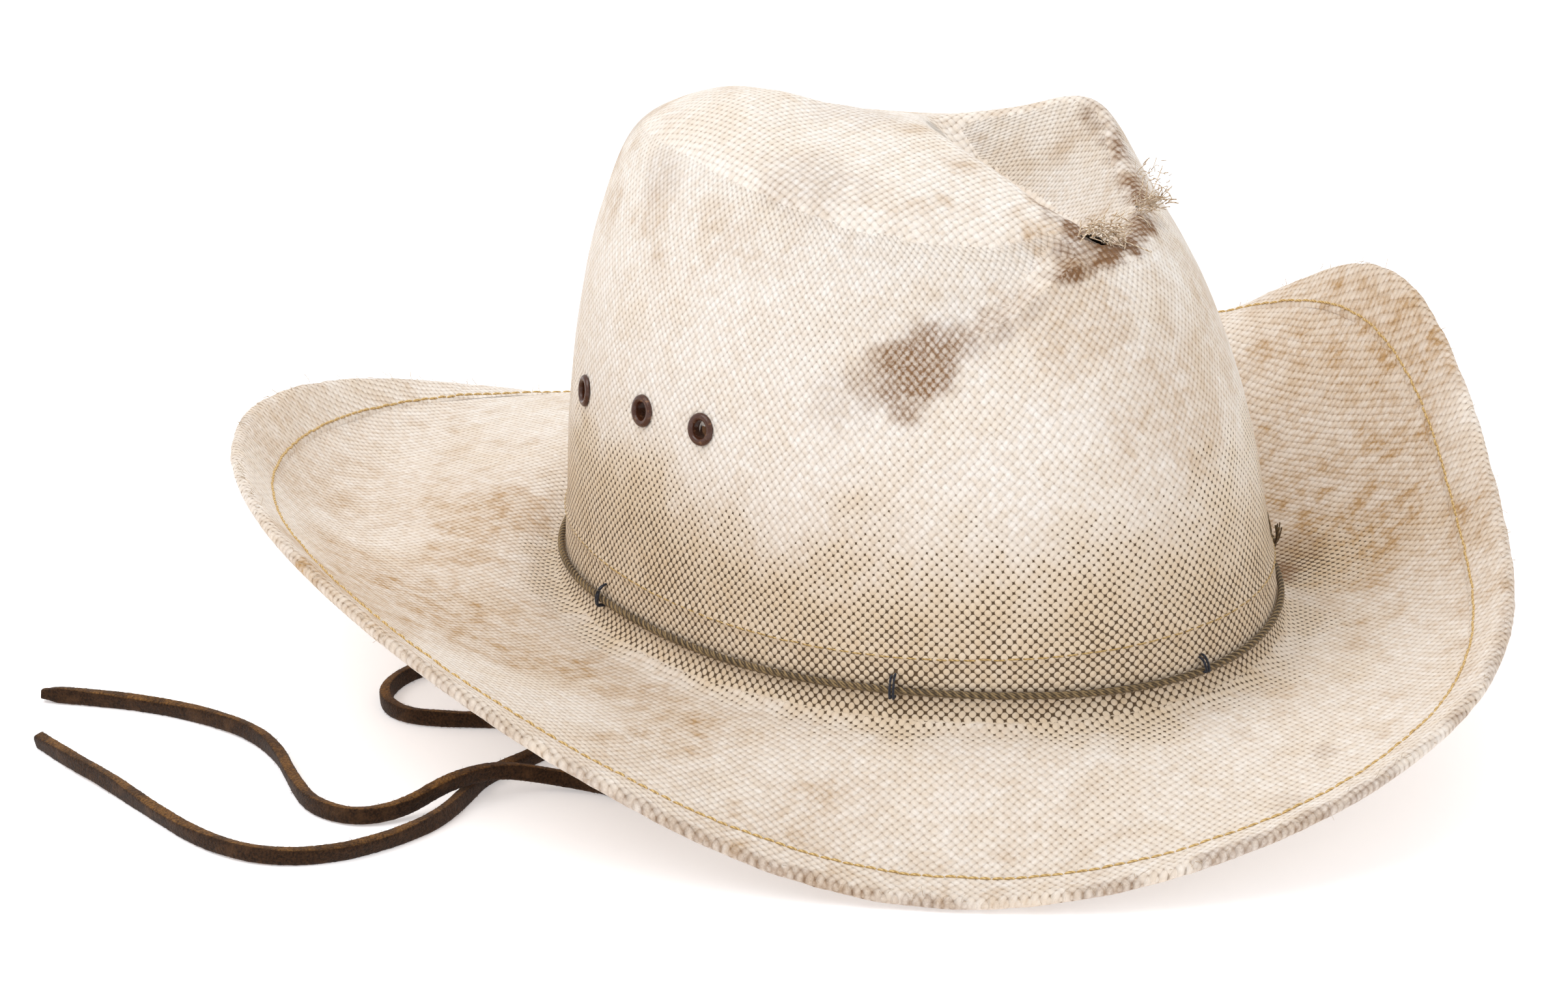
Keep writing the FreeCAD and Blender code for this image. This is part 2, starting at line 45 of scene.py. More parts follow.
# ------------------------------------------------------------------ shape of the hat (mm)
CROWN_SHARES = (
    (1.0,) * 8,
    (0.98, 0.99, 0.99, 0.985, 0.98, 0.985, 0.975, 0.965),
    (0.94, 0.96, 0.97, 0.97, 0.95, 0.945, 0.93, 0.91),
    (0.88, 0.91, 0.93, 0.935, 0.90, 0.885, 0.86, 0.825),
    (0.78, 0.83, 0.87, 0.875, 0.83, 0.80, 0.75, 0.705),
    (0.65, 0.70, 0.75, 0.76, 0.70, 0.68, 0.63, 0.575),
    (0.45,) * 8, (0.2,) * 8, (0.0,) * 8)
CROWN_RISES = (
    (0,) * 8, (22,) * 8, (48,) * 8, (74,) * 8, (98,) * 8,
    (114, 109, 114, 120, 118, 112, 110, 114),
    (121, 114, 123, 130, 127, 122, 120, 124),
    (124, 122, 127, 132, 130, 127, 127, 126), (129,) * 8)
CROWN_LEAN = (0, 0, 0, 0, 0, 0.05, 0.5, 0.85, 1.0)
CROWN_TOP = (-16.0, 18.0)
RIM_RADIUS = (166, 174, 189, 177, 165, 149, 166, 149)
RIM_RISE = (38, -15.7, 6, 38.5, 25, -19.2, 4, 26)
WING_LIFT, WING_TURN, WING_SPREAD = 15.0, -4.0, 16.0
BRIM_NEAR_AT, BRIM_FAR_AT = 0.36, 0.70
BRIM_NEAR = (8, 8, 9, 8, 3, -5, -2, 3)
BRIM_FAR = (27, 14, 6, 14, 12, -14, -2, 11)
HEAD_A, HEAD_B = 85.5, 101.5
CREASE_X, CREASE_BEND, CREASE_HEIGHT, CREASE_ROUND = 21, 0.005, 99, 5
CREST_ROUND = 4
# centre, reach and depth of the pinch, and of the lift of the left peak
PINCH = ((-38, -62, 98), 30, 9)
PEAK = ((44, -15, 120), 15, 9.5)
# where the bend from crown to brim starts and ends, as shares of crown and brim
BREAK_UP, BREAK_OUT = 0.04, 0.11
BASE = np.array([-0.4, -11.5, 22.45])
STRAW = 1.6


def unit(vectors):
    return vectors / np.maximum(np.linalg.norm(vectors, axis=-1, keepdims=True), 1e-9)


def full_turn(count, first=0.0):
    """Even angles round a circle; first is the share of a step before the first one."""
    return (np.arange(count) + first) * 2 * math.pi / count


def radial(angle):
    """Level unit vectors that point away from the middle of the hat."""
    return np.stack([np.cos(angle), np.sin(angle), 0 * angle], -1)


def ring(values, angle):
    """Smooth curve round the hat through eight values, 45 degrees apart."""
    values = np.asarray(values, float)
    steps = np.radians(np.arange(0, 360, 45))
    total = np.full_like(angle, values.mean())
    for k in range(1, 5):
        scale = 0.125 if k == 4 else 0.25
        total = total + scale * (values * np.cos(k * steps)).sum() * np.cos(k * angle)
        if k < 4:
            total = total + scale * (values * np.sin(k * steps)).sum() * np.sin(k * angle)
    return total


def head_radius(angle):
    return HEAD_A * HEAD_B / np.hypot(HEAD_B * np.cos(angle), HEAD_A * np.sin(angle))


def along(rows, place):
    last = len(rows) - 1
    i = np.clip(np.floor(place).astype(int), 0, last - 1)
    f = place - i
    rows = np.stack(rows)
    column = np.arange(rows.shape[1])
    before, start = rows[np.maximum(i - 1, 0), column], rows[i, column]
    end, after = rows[i + 1, column], rows[np.minimum(i + 2, last), column]
    slope_a = np.where(i == 0, end - start, (end - before) / 2)
    slope_b = np.where(i == last - 1, end - start, (after - start) / 2)
    return ((2 * f ** 3 - 3 * f ** 2 + 1) * start + (f ** 3 - 2 * f ** 2 + f) * slope_a
            + (3 * f ** 2 - 2 * f ** 3) * end + (f ** 3 - f ** 2) * slope_b)


def crease_floor(x, y):
    valley = CREASE_X - CREASE_BEND * np.maximum(0, -10 - y) ** 2
    floor = CREASE_HEIGHT + 0.01 * np.maximum(0, y + 30) ** 2 + 0.45 * np.maximum(0, -45 - y)
    aside = x - valley
    slope = np.where(aside < 0, 1.2, 1.25)
    return floor + slope * (np.sqrt(aside ** 2 + CREASE_ROUND ** 2) - CREASE_ROUND)


def swell(x, y, z, bump):
    """Height of a round bump of this (centre, reach, size) at the points."""
    (cx, cy, cz), reach, size = bump
    return size * np.exp(-((x - cx) ** 2 + (y - cy) ** 2 + (z - cz) ** 2) / reach ** 2)


def crown(t, angle):
    head = head_radius(angle)
    place = t * 8
    radius = along([ring(v, angle) for v in CROWN_SHARES], place) * head
    z = along([ring(v, angle) for v in CROWN_RISES], place)
    lean = along([np.full_like(angle, v) for v in CROWN_LEAN], place)
    x = radius * np.cos(angle) + lean * CROWN_TOP[0]
    y = radius * np.sin(angle) + lean * CROWN_TOP[1]
    push = swell(x, y, z, PINCH)
    peak = swell(x, y, z, PEAK)
    x, y, z = x + 0.55 * push, y + 0.8 * push, z - 0.2 * push + peak
    floor = crease_floor(x, y)
    z = 0.5 * (z + floor - np.sqrt((z - floor) ** 2 + CREST_ROUND ** 2))
    return np.stack([x, y, z], -1)


def brim(t, angle):
    n, f = BRIM_NEAR_AT, BRIM_FAR_AT
    z = ring(BRIM_NEAR, angle) * t * (t - f) * (t - 1) / (n * (n - f) * (n - 1))
    z += ring(BRIM_FAR, angle) * t * (t - n) * (t - 1) / (f * (f - n) * (f - 1))
    away = (np.degrees(angle) - WING_TURN + 180) % 360 - 180
    wing = WING_LIFT * np.exp(-(away / WING_SPREAD) ** 2)
    z += (ring(RIM_RISE, angle) + wing) * t * (t - n) * (t - f) / ((1 - n) * (1 - f))
    start = head_radius(angle)
    radius = start + (ring(RIM_RADIUS, angle) - start) * t
    return np.stack([radius * np.cos(angle), radius * np.sin(angle), z], -1)


def skin(s, angle):
    """Outer face: crown top at s = 0, crown base at 1, brim from 2 to the rim at 3."""
    s, angle = np.broadcast_arrays(np.asarray(s, float), np.asarray(angle, float))
    shape = s.shape
    s, angle = s.ravel(), angle.ravel()
    w = np.clip(s - 1, 0, 1)[:, None]
    upper = crown(1 - np.minimum(s, 1) * (1 - BREAK_UP), angle)
    outer = brim(BREAK_OUT + np.maximum(s - 2, 0) * (1 - BREAK_OUT), angle)
    head = head_radius(angle)
    corner = np.stack([head * np.cos(angle), head * np.sin(angle), 0 * head], -1)
    point = upper * (1 - w) ** 2 + corner * 2 * w * (1 - w) + outer * w ** 2
    return point.reshape(shape + (3,))


def outward(s, angle):
    ds, da = 0.004, 0.008
    low, high = np.clip(s - ds, 0, 3), np.clip(s + ds, 0, 3)
    along_s = skin(high, angle) - skin(low, angle)
    along_a = skin(s, angle + da) - skin(s, angle - da)
    return unit(np.cross(along_s, along_a))


def rim_width(angle):
    return ring(RIM_RADIUS, angle) - head_radius(angle)


def level_at_inset(inset, angle):
    return 3 - inset / rim_width(angle) / (1 - BREAK_OUT)


def crown_level(angle, rise):
    """Skin level of the crown wall at this height over the base."""
    low, high = np.full_like(angle, 0.3), np.ones_like(angle)
    for _ in range(30):
        mid = (low + high) / 2
        above = skin(mid, angle)[..., 2] > rise
        low, high = np.where(above, mid, low), np.where(above, high, mid)
    return low


def lattice(seed):
    return np.random.default_rng(seed).random((32, 32, 32))


LATTICES = {}


def noise(points, scale, seed=1, octaves=3):
    """Smooth value noise from 0 to 1 at points in mm; scale is its feature size."""
    if seed not in LATTICES:
        LATTICES[seed] = lattice(seed)
    grid = LATTICES[seed]
    total, weight, amount = 0, 1.0, 0.0
    for octave in range(octaves):
        p = points / scale * 2 ** octave + 17.3 * octave
        i = np.floor(p).astype(int)
        f = p - i
        f = f * f * (3 - 2 * f)
        value = 0
        for dx in (0, 1):
            for dy in (0, 1):
                for dz in (0, 1):
                    step = np.array([dx, dy, dz])
                    at = (i + step) % 32
                    share = np.where(step == 1, f, 1 - f).prod(axis=-1)
                    value = value + grid[at[..., 0], at[..., 1], at[..., 2]] * share
        total = total + value * weight
        amount += weight
        weight *= 0.5
    return total / amount


def rise(value, low, high):
    f = np.clip((value - low) / (high - low), 0, 1)
    return f * f * (3 - 2 * f)


# ------------------------------------------------------------------ materials
class Nodes:
    """Short way to write a node tree."""

    def __init__(self, name):
        self.material = bpy.data.materials.new(name)
        self.material.use_nodes = True
        self.tree = self.material.node_tree
        self.shader = self.tree.nodes["Principled BSDF"]

    def node(self, kind, **values):
        n = self.tree.nodes.new(kind)
        for key, value in values.items():
            setattr(n, key, value)
        return n

    def put(self, socket, value):
        if hasattr(value, "is_output"):
            self.tree.links.new(value, socket)
        elif value is not None:
            if isinstance(value, (tuple, list)) and len(value) == 3 and socket.type == "RGBA":
                value = (*value, 1.0)
            socket.default_value = value

    def math(self, operation, a, b=None, c=None, clamp=False):
        n = self.node("ShaderNodeMath", operation=operation, use_clamp=clamp)
        for socket, value in zip(n.inputs, (a, b, c)):
            self.put(socket, value)
        return n.outputs[0]

    def times(self, a, b, clamp=False):
        return self.math("MULTIPLY", a, b, clamp=clamp)

    def plus(self, a, b):
        return self.math("ADD", a, b)

    def minus(self, a, b):
        return self.math("SUBTRACT", a, b)

    def mix(self, factor, a, b):
        n = self.node("ShaderNodeMix", data_type="RGBA", blend_type="MIX")
        self.put(n.inputs["Factor"], factor)
        self.put(n.inputs[6], a)
        self.put(n.inputs[7], b)
        return n.outputs[2]

    def ramp(self, value, low, high, out_low=0.0, out_high=1.0, smooth=True):
        n = self.node("ShaderNodeMapRange", interpolation_type="SMOOTHSTEP" if smooth else "LINEAR")
        for socket, v in zip(n.inputs, (value, low, high, out_low, out_high)):
            self.put(socket, v)
        return n.outputs[0]

    def noise(self, vector, scale, detail=2.0, rough=0.5):
        n = self.node("ShaderNodeTexNoise")
        self.put(n.inputs["Vector"], vector)
        n.inputs["Scale"].default_value = scale
        n.inputs["Detail"].default_value = detail
        n.inputs["Roughness"].default_value = rough
        return n.outputs[0]

    def white(self, value):
        n = self.node("ShaderNodeTexWhiteNoise", noise_dimensions="1D")
        self.put(n.inputs["W"], value)
        return n.outputs["Value"]

    def bump(self, height, distance, strength=1.0):
        n = self.node("ShaderNodeBump")
        n.inputs["Strength"].default_value = strength
        n.inputs["Distance"].default_value = distance
        self.put(n.inputs["Height"], height)
        return n.outputs[0]

    def uv(self, name):
        """The map's two coordinates."""
        split = self.node("ShaderNodeSeparateXYZ")
        self.put(split.inputs[0], self.node("ShaderNodeUVMap", uv_map=name).outputs[0])
        return split.outputs[0], split.outputs[1]

    def place(self):
        return self.node("ShaderNodeTexCoord").outputs["Object"]

    def attribute(self, name):
        return self.node("ShaderNodeAttribute", attribute_name=name)

    def finish(self, color, roughness=0.8, normal=None, **fixed):
        self.put(self.shader.inputs["Base Color"], color)
        self.put(self.shader.inputs["Roughness"], roughness)
        self.put(self.shader.inputs["Normal"], normal)
        for key, value in fixed.items():
            self.put(self.shader.inputs[key.replace("_", " ")], value)
        return self.material


def srgb(r, g, b):
    return tuple(c / 255 / 12.92 if c <= 10 else ((c / 255 + 0.055) / 1.055) ** 2.4
                 for c in (r, g, b))


def straw_material():
    n = Nodes("straw")
    weave_u, weave_v = n.uv("weave")
    # the threads wander a little
    wander = n.noise(n.place(), 90, 2)
    drift = n.times(n.minus(wander, 0.5), 0.9)
    u = n.plus(weave_u, drift)
    v = n.minus(weave_v, drift)
    su = n.math("SINE", n.times(u, math.pi))
    sv = n.math("SINE", n.times(v, math.pi))
    warp_id, weft_id = n.math("FLOOR", u), n.math("FLOOR", v)
    warp_tone = n.white(n.plus(warp_id, 0.37))
    weft_tone = n.white(n.plus(weft_id, 91.71))
    warp_round = n.math("POWER", n.math("ABSOLUTE", su), 0.55)
    weft_round = n.math("POWER", n.math("ABSOLUTE", sv), 0.55)
    warp_up = n.times(n.math("SIGN", su), sv)
    weft_up = n.times(n.times(n.math("SIGN", sv), su), -1.0)
    warp_high = n.plus(n.times(warp_round, 0.62), n.times(warp_up, 0.38))
    weft_high = n.plus(n.times(weft_round, 0.62), n.times(weft_up, 0.38))
    height = n.math("SMOOTH_MAX", warp_high, weft_high, 0.08)
    on_top = n.math("GREATER_THAN", warp_high, weft_high)

    # fine streaks run along each thread
    def streaks(u_share, v_share):
        stretched = n.node("ShaderNodeCombineXYZ")
        n.put(stretched.inputs[0], n.times(u, u_share))
        n.put(stretched.inputs[1], n.times(v, v_share))
        return n.noise(stretched.outputs[0], 1.6, 2)

    streak_warp, streak_weft = streaks(7.0, 0.55), streaks(0.55, 7.0)

    def choose(a, b):
        return n.plus(n.times(a, on_top), n.times(b, n.minus(1.0, on_top)))

    streak = choose(streak_warp, streak_weft)
    tone = choose(warp_tone, weft_tone)

    marks = n.attribute("marks")
    channels = n.node("ShaderNodeSeparateColor")
    n.put(channels.inputs[0], marks.outputs["Color"])
    soil, stain, brown = channels.outputs[0], channels.outputs[1], channels.outputs[2]
    tan = marks.outputs["Alpha"]
    patchy = n.noise(n.place(), 45, 4, 0.6)
    fine = n.noise(n.place(), 420, 3, 0.6)

    def colored(factor, low, high, out_low, out_high, base, tint):
        return n.mix(n.ramp(factor, low, high, out_low, out_high), base, tint)

    # bleached straw, creamier in patches and tanned where marked
    thread = n.plus(n.times(tone, 0.14), n.times(fine, 0.86))
    color = colored(thread, 0.25, 0.75, 0.0, 1.0, srgb(237, 225, 211), srgb(251, 245, 238))
    color = colored(streak, 0.45, 0.7, 0.0, 0.16, color, srgb(206, 182, 150))
    color = colored(patchy, 0.42, 0.72, 0.0, 0.42, color, srgb(232, 213, 188))
    grit = n.noise(n.place(), 240, 6, 0.75)
    tanned = n.times(tan, n.ramp(n.plus(grit, n.times(height, 0.15)), 0.42, 0.72, 1.15, 0.45))
    tanned = n.math("MINIMUM", tanned, 1.0)
    color = n.mix(tanned, color, srgb(188, 150, 102))
    # painted shade: the gaps between the threads are darkened a little everywhere
    gap = n.ramp(height, 0.30, 0.62, 1.0, 0.0)
    color = n.mix(n.times(gap, n.ramp(patchy, 0.32, 0.68, 0.16, 0.5)), color, srgb(158, 126, 96))
    # dirt sits in the gaps first, and on the threads where it is thick
    thick = n.plus(soil, n.times(n.times(n.minus(n.plus(fine, patchy), 1.0), 1.1),
                                n.ramp(soil, 0.0, 0.25)))
    thick = n.math("MAXIMUM", thick, 0.0)
    color = n.mix(n.times(n.ramp(thick, 0.0, 0.9), 0.5), color, srgb(220, 192, 150))
    reach = n.ramp(n.minus(height, n.times(thick, 0.24)), 0.26, 0.46, 1.0, 0.0)
    color = n.mix(n.times(reach, n.ramp(thick, 0.0, 0.5, 0.0, 0.95)), color, srgb(84, 62, 36))
    speckle = n.noise(n.place(), 900, 3, 0.75)
    cover = n.plus(n.times(height, 0.5), n.times(speckle, 1.1))
    blot = n.times(stain, n.ramp(cover, 0.70, 1.15, 1.0, 0.4), clamp=True)
    color = n.mix(n.times(blot, 0.95), color, srgb(138, 98, 58))
    rust = n.times(brown, n.ramp(cover, 0.72, 1.2, 1.0, 0.4), clamp=True)
    color = n.mix(n.times(rust, 0.95), color, srgb(126, 86, 46))
    rough = n.ramp(height, 0.2, 0.9, 0.95, 0.62)
    relief = n.plus(height, n.times(streak, 0.22))
    normal = n.bump(relief, 0.0007, 1.0)
    return n.finish(color, rough, normal, Specular_IOR_Level=0.28, Sheen_Weight=0.08)


def thread_material(name, dark, light, twist=900.0, rough=0.75, sheen=0.15):
    n = Nodes(name)
    run, around = n.uv("run")
    turn = n.math("SINE", n.plus(n.times(run, twist), n.times(around, 2 * math.pi * 3)))
    fuzz = n.noise(n.place(), 1500, 3, 0.7)
    level = n.plus(n.times(turn, 0.3), fuzz)
    color = n.mix(n.ramp(level, 0.2, 0.9), dark, light)
    normal = n.bump(level, 0.0001, 0.8)
    return n.finish(color, rough, normal, Sheen_Weight=sheen, Specular_IOR_Level=0.3)


# ------------------------------------------------------------------ mesh helpers
def link(name, data):
    """A new object in the scene."""
    thing = bpy.data.objects.new(name, data)
    bpy.context.scene.collection.objects.link(thing)
    return thing


def new_object(name, vertices, faces, smooth=True):
    mesh = bpy.data.meshes.new(name)
    mesh.from_pydata([tuple(v) for v in (np.asarray(vertices) * MM).tolist()], [], faces)
    mesh.update()
    if smooth:
        mesh.shade_smooth()
    return link(name, mesh)


def grid_faces(rows, columns, flip=False):
    """Quads of a grid whose columns close into a ring."""
    r = np.arange(rows - 1)[:, None]
    c = np.arange(columns)[None, :]
    nxt = (c + 1) % columns
    low, high = r * columns, (r + 1) * columns
    quads = np.stack([low + c, low + nxt, high + nxt, high + c], -1).reshape(-1, 4)
    return quads[:, ::-1] if flip else quads


def finish_piece(thing, material, *nodes, slot=None):
    thing.data.materials.clear()
    thing.data.materials.append(material)
    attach(thing, "root")
    if nodes:
        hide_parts(*nodes)
    return thing


def set_uv(mesh, name, per_loop):
    layer = mesh.uv_layers.new(name=name)
    layer.data.foreach_set("uv", np.asarray(per_loop, np.float32).ravel())


def read_all(items, field, width=1, kind=np.float32):
    values = np.empty(len(items) * width, kind)
    items.foreach_get(field, values)
    return values if width == 1 else values.reshape(-1, width)


def loops_of(mesh):
    return read_all(mesh.loops, "vertex_index", kind=np.int32)


# ------------------------------------------------------------------ straw shell
COLUMNS = 600
CROWN_ROWS, BREAK_ROWS, BRIM_ROWS = ((178, 8, 74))
INNER_ROWS = 56
PITCH = 1.75
HOOP = 238 * math.sqrt(2) * PITCH
# station on the crown wall and direction (degrees) of each eyelet
EYELETS = {
    "right_rear": (0.293, 145.2), "right_middle": (0.316, 167.8), "right_front": (0.321, 183.8),
    "left_rear": (0.293, 34.8), "left_middle": (0.316, 12.2), "left_front": (0.321, -3.8),
}
eyelet_spots = {}
for side, (station, degrees) in EYELETS.items():
    level = np.array([(1 - station) / (1 - BREAK_UP)])
    turn = np.array([math.radians(degrees)])
    eyelet_spots[side] = (skin(level, turn)[0], outward(level, turn)[0])

# marks on the straw: place (mm from the middle of the head oval), reach and strength
STAINS = (((-53, -52, 83), 10, 1.0), ((-47, -54, 86), 9, 0.95), ((-41, -58, 90), 7, 0.7),
          ((-34, -61, 93), 6, 0.5), ((-60, -46, 80), 7, 0.5), ((-56, -54, 75), 5, 0.8),
          ((-68, -42, 76), 9, 0.2), ((-27, -64, 97), 6, 0.3),
          ((-49, -12, 119), 13, 0.30), ((-62, 30, 117), 8, 0.25), ((-40, 62, 116), 10, 0.35),
          ((-12, 8, 128), 12, 0.22), ((1, -140, -2), 4, 0.3), ((-22, -150, -4), 5, 0.2),
          ((74, -57, 3), 9, 1.2), ((84, -50, 3), 13, 0.5))
WORN_EDGES = (((7, -30, 125), (1, -42, 121), (0, -50, 117), (-3, -58, 114), (-9, -64, 109),
               (-14, -67, 105)),
              ((-9, -64, 109), (0, -66, 107), (8, -63, 108), (16, -61, 109), (24, -56, 111),
               (30, -50, 113), (36, -42, 116), (39, -34, 120), (42, -26, 124), (45, -16, 127)))
TANNED = (((-58, 96, 6), 20, 0.8), ((-89, 81, 7), 15, 0.7), ((-72, 90, 4), 16, 0.7),
          ((-92, 150, 27), 22, 0.4), ((-110, 125, 25), 22, 0.5), ((-128, 62, 14), 16, 0.4),
          ((152, -32, 41), 24, 0.7),
          ((141, -5, 34), 24, 0.6), ((123, -34, 14), 22, 0.6), ((107, -60, 8), 20, 0.55),
          ((107, -85, 14), 18, 0.4), ((118, -5, 20), 20, 0.6), ((98, -64, 4), 26, 1.0),
          ((84, -80, 2), 18, 0.8), ((6, -88, 72), 26, 0.5), ((36, -76, 84), 22, 0.45),
          ((-16, -74, 92), 14, 0.5), ((-60, 40, 60), 20, 0.15))


def blobs(points, spots, seed):
    total = np.zeros(len(points))
    rough = noise(points, 5.5, seed, 4)
    for place, reach, strength in spots:
        away = np.linalg.norm(points - np.array(place), axis=1) / reach
        total = np.maximum(total, strength * rise(1.3 - away + 1.3 * (rough - 0.5), 0.0, 0.85))
    return total


def near_line(points, line):
    """Distance from a bent line, place along it and height over it."""
    line = np.array(line, float)
    best, where, over = np.full(len(points), 1e9), 0, 0
    for i, (a, b) in enumerate(zip(line, line[1:])):
        f = np.clip(((points - a) @ (b - a)) / ((b - a) @ (b - a)), 0, 1)
        gap = points - (a + f[:, None] * (b - a))
        away = np.linalg.norm(gap, axis=1)
        closer = away < best
        best = np.where(closer, away, best)
        where = np.where(closer, i + f, where)
        over = np.where(closer, gap[:, 2], over)
    return best, where, over


def edge_wear(points):
    """Brown fraying along the folded edges of the crown top."""
    best = np.minimum.reduce([near_line(points, line)[0] for line in WORN_EDGES])
    rough = noise(points, 4.0, 9, 4)
    strong = 0.75 + 0.7 * rise(noise(points, 9, 14, 2), 0.3, 0.6)
    fade = rise(130 - points[:, 2], 0, 16)
    return strong * fade * rise(1.2 - best / 6.5 + 1.6 * (rough - 0.5), 0.0, 0.9)


# the raised fold that runs from the tear down the right front of the crown
CREASE_RIDGE = ((-9, -67, 107), (-13, -67, 105), (-22, -65, 100), (-29, -63, 95),
                (-38, -60, 91), (-46, -56, 87))
BAND_STITCH_RISE = 17.4
TWINE_RISE = 8.0


def band_stitch_height(angle):
    return BAND_STITCH_RISE + 0.6 * np.sin(3 * angle)


def shape_detail(points, normals, s, angle):
    """Small folds, dents and waves on top of the smooth form."""
    lift = 0.9 * (noise(points, 38, 3, 2) - 0.5) * rise(s, 2.05, 2.5)
    lift += 0.8 * (noise(points, 26, 4, 3) - 0.5) * (1 - rise(s, 0.9, 1.0))
    away, where, over = near_line(points, CREASE_RIDGE)
    fade = rise(where, 0.0, 0.6) * (1 - rise(where, 3.6, 4.9))
    hollow = 1.9 * np.exp(-((away - 7) / 6) ** 2) * (over > 0)
    lift += fade * (1.4 * np.exp(-(away / 2.2) ** 2) - hollow)
    stitched = np.exp(-((points[:, 2] - band_stitch_height(angle)) / 1.1) ** 2)
    lift += 0.45 * stitched * (s > 0.5) * (s < 1.0)
    lift -= 0.3 * np.exp(-((points[:, 2] - TWINE_RISE) / 2.0) ** 2) * (s > 0.5) * (s < 1.2)
    return points + normals * lift[:, None]


def marks_at(points, s, angle):
    z = points[:, 2]
    out = np.hypot(points[:, 0], points[:, 1]) - head_radius(angle)
    cloud = noise(points, 30, 5, 4)
    speck = noise(points, 6, 6, 3)
    on_crown = s < 1.5
    # the dirty band reaches higher at the two sides than in front
    top = 59 + 8 * np.cos(3 * (angle - math.radians(165))) + 20 * (cloud - 0.5)
    band = 1.0 - np.clip(z / top, 0, 1.25) / 1.25
    band = 1.15 * rise(band + 0.30 * (speck - 0.5), 0.10, 0.85)
    spill = 0.75 * rise(13 - out + 20 * (cloud - 0.5) + 12 * (speck - 0.5), -2, 15)
    nook = np.exp(-((points[:, 0] - 80) ** 2 + (points[:, 1] + 60) ** 2) / 260)
    spill = np.maximum(spill, 1.3 * nook)
    soil = np.where(on_crown, band, spill)
    soil = np.maximum(soil, 0.12 * rise(cloud, 0.5, 0.8))
    stain = blobs(points, STAINS, 8)
    brown = edge_wear(points)
    tan = blobs(points, TANNED, 10)
    drift = noise(points, 46, 12, 4)
    mottle = noise(points, 7, 13, 5)
    on_brim = rise(s, 1.9, 2.2)
    side = np.abs(np.cos(angle - math.radians(-12)))
    wing = on_brim * (0.14 + 0.60 * side ** 2 * rise(drift, 0.3, 0.6)
                      + 0.42 * rise(mottle, 0.5, 0.72) * rise(drift, 0.3, 0.6) * (0.35 + 0.65 * side))
    crown_tan = (1 - on_brim) * (0.12 * rise(drift, 0.45, 0.7) + 0.30 * (1 - rise(z, 18, 62)))
    crown_tan += ((1 - on_brim) * 0.6 * rise(z, 80, 112) * rise(mottle, 0.42, 0.7)
                  * rise(drift, 0.3, 0.55))
    tan = np.maximum(tan, wing + crown_tan)
    return np.stack([soil, stain, brown, np.clip(tan, 0, 1)], -1)


angle_row = full_turn(COLUMNS)
levels = np.concatenate([np.linspace(0.004, 1, CROWN_ROWS), np.linspace(1, 2, BREAK_ROWS + 1)[1:],
                         np.linspace(2, 2.992, BRIM_ROWS + 1)[1:]])
inner_levels = np.concatenate([np.linspace(0.004, 1, INNER_ROWS // 2), np.linspace(1, 2, 5)[1:],
                               np.linspace(2, 2.985, INNER_ROWS // 2 - 4)[1:]])


def skin_grid(level_row):
    s, a = np.meshgrid(level_row, angle_row, indexing="ij")
    return s.ravel(), a.ravel()


s_outer, a_outer = skin_grid(levels)
outer_smooth = skin(s_outer, a_outer)
outer_normal = outward(s_outer, a_outer)
outer_points = shape_detail(outer_smooth, outer_normal, s_outer, a_outer)
s_inner, a_inner = skin_grid(inner_levels)
inner_normal = outward(s_inner, a_inner)
inner_points = shape_detail(skin(s_inner, a_inner), inner_normal, s_inner, a_inner)
inner_points = inner_points - inner_normal * STRAW

rows = len(levels)
outer_faces = grid_faces(rows, COLUMNS, flip=True)
face_mid = outer_points[outer_faces].mean(axis=1)
keep = np.ones(len(outer_faces), bool)
for spot, _ in eyelet_spots.values():
    keep &= np.linalg.norm(face_mid - spot, axis=1) > 3.0

# ragged holes worn through at the pinch of the crown
TEARS = (((0.5, -62.5, 109.5), (5.2, 2.6, 3.0)), ((-5, -59.5, 112.5), (1.9, 1.3, 1.6)),
         ((24, -52, 111), (2.0, 1.6, 1.6)))
ragged = noise(face_mid, 2.2, 21, 2)
for place, reach in TEARS:
    away = np.linalg.norm((face_mid - np.array(place)) / np.array(reach), axis=1)
    keep &= away + 1.1 * (ragged - 0.5) > 1.0
inner_faces = grid_faces(len(inner_levels), COLUMNS)
inner_mid = inner_points[inner_faces].mean(axis=1)
keep_inner = np.ones(len(inner_faces), bool)
for spot, normal in eyelet_spots.values():
    keep_inner &= np.linalg.norm(inner_mid - (spot - normal * STRAW), axis=1) > 3.6
for place, reach in TEARS:
    away = np.linalg.norm((inner_mid - np.array(place)) / (np.array(reach) + 1.6), axis=1)
    keep_inner &= away > 1.0

all_points = np.concatenate([outer_points, inner_points])
s_all = np.concatenate([s_outer, s_inner])
a_all = np.concatenate([a_outer, a_inner])
outer_kept = outer_faces[keep]
inner_kept = inner_faces[keep_inner] + len(outer_points)
last_outer = (rows - 1) * COLUMNS + np.arange(COLUMNS)
last_inner = len(outer_points) + (len(inner_levels) - 1) * COLUMNS + np.arange(COLUMNS)
rim_faces = np.stack([last_outer, last_inner, np.roll(last_inner, -1), np.roll(last_outer, -1)], -1)
quads = np.concatenate([outer_kept, inner_kept, rim_faces])
top_outer, top_inner = len(all_points), len(all_points) + 1
caps = np.stack([outer_points[:COLUMNS].mean(axis=0), inner_points[:COLUMNS].mean(axis=0)])
all_points = np.concatenate([all_points, caps])
s_all, a_all = np.append(s_all, [0, 0]), np.append(a_all, [0, 0])
first = np.arange(COLUMNS)
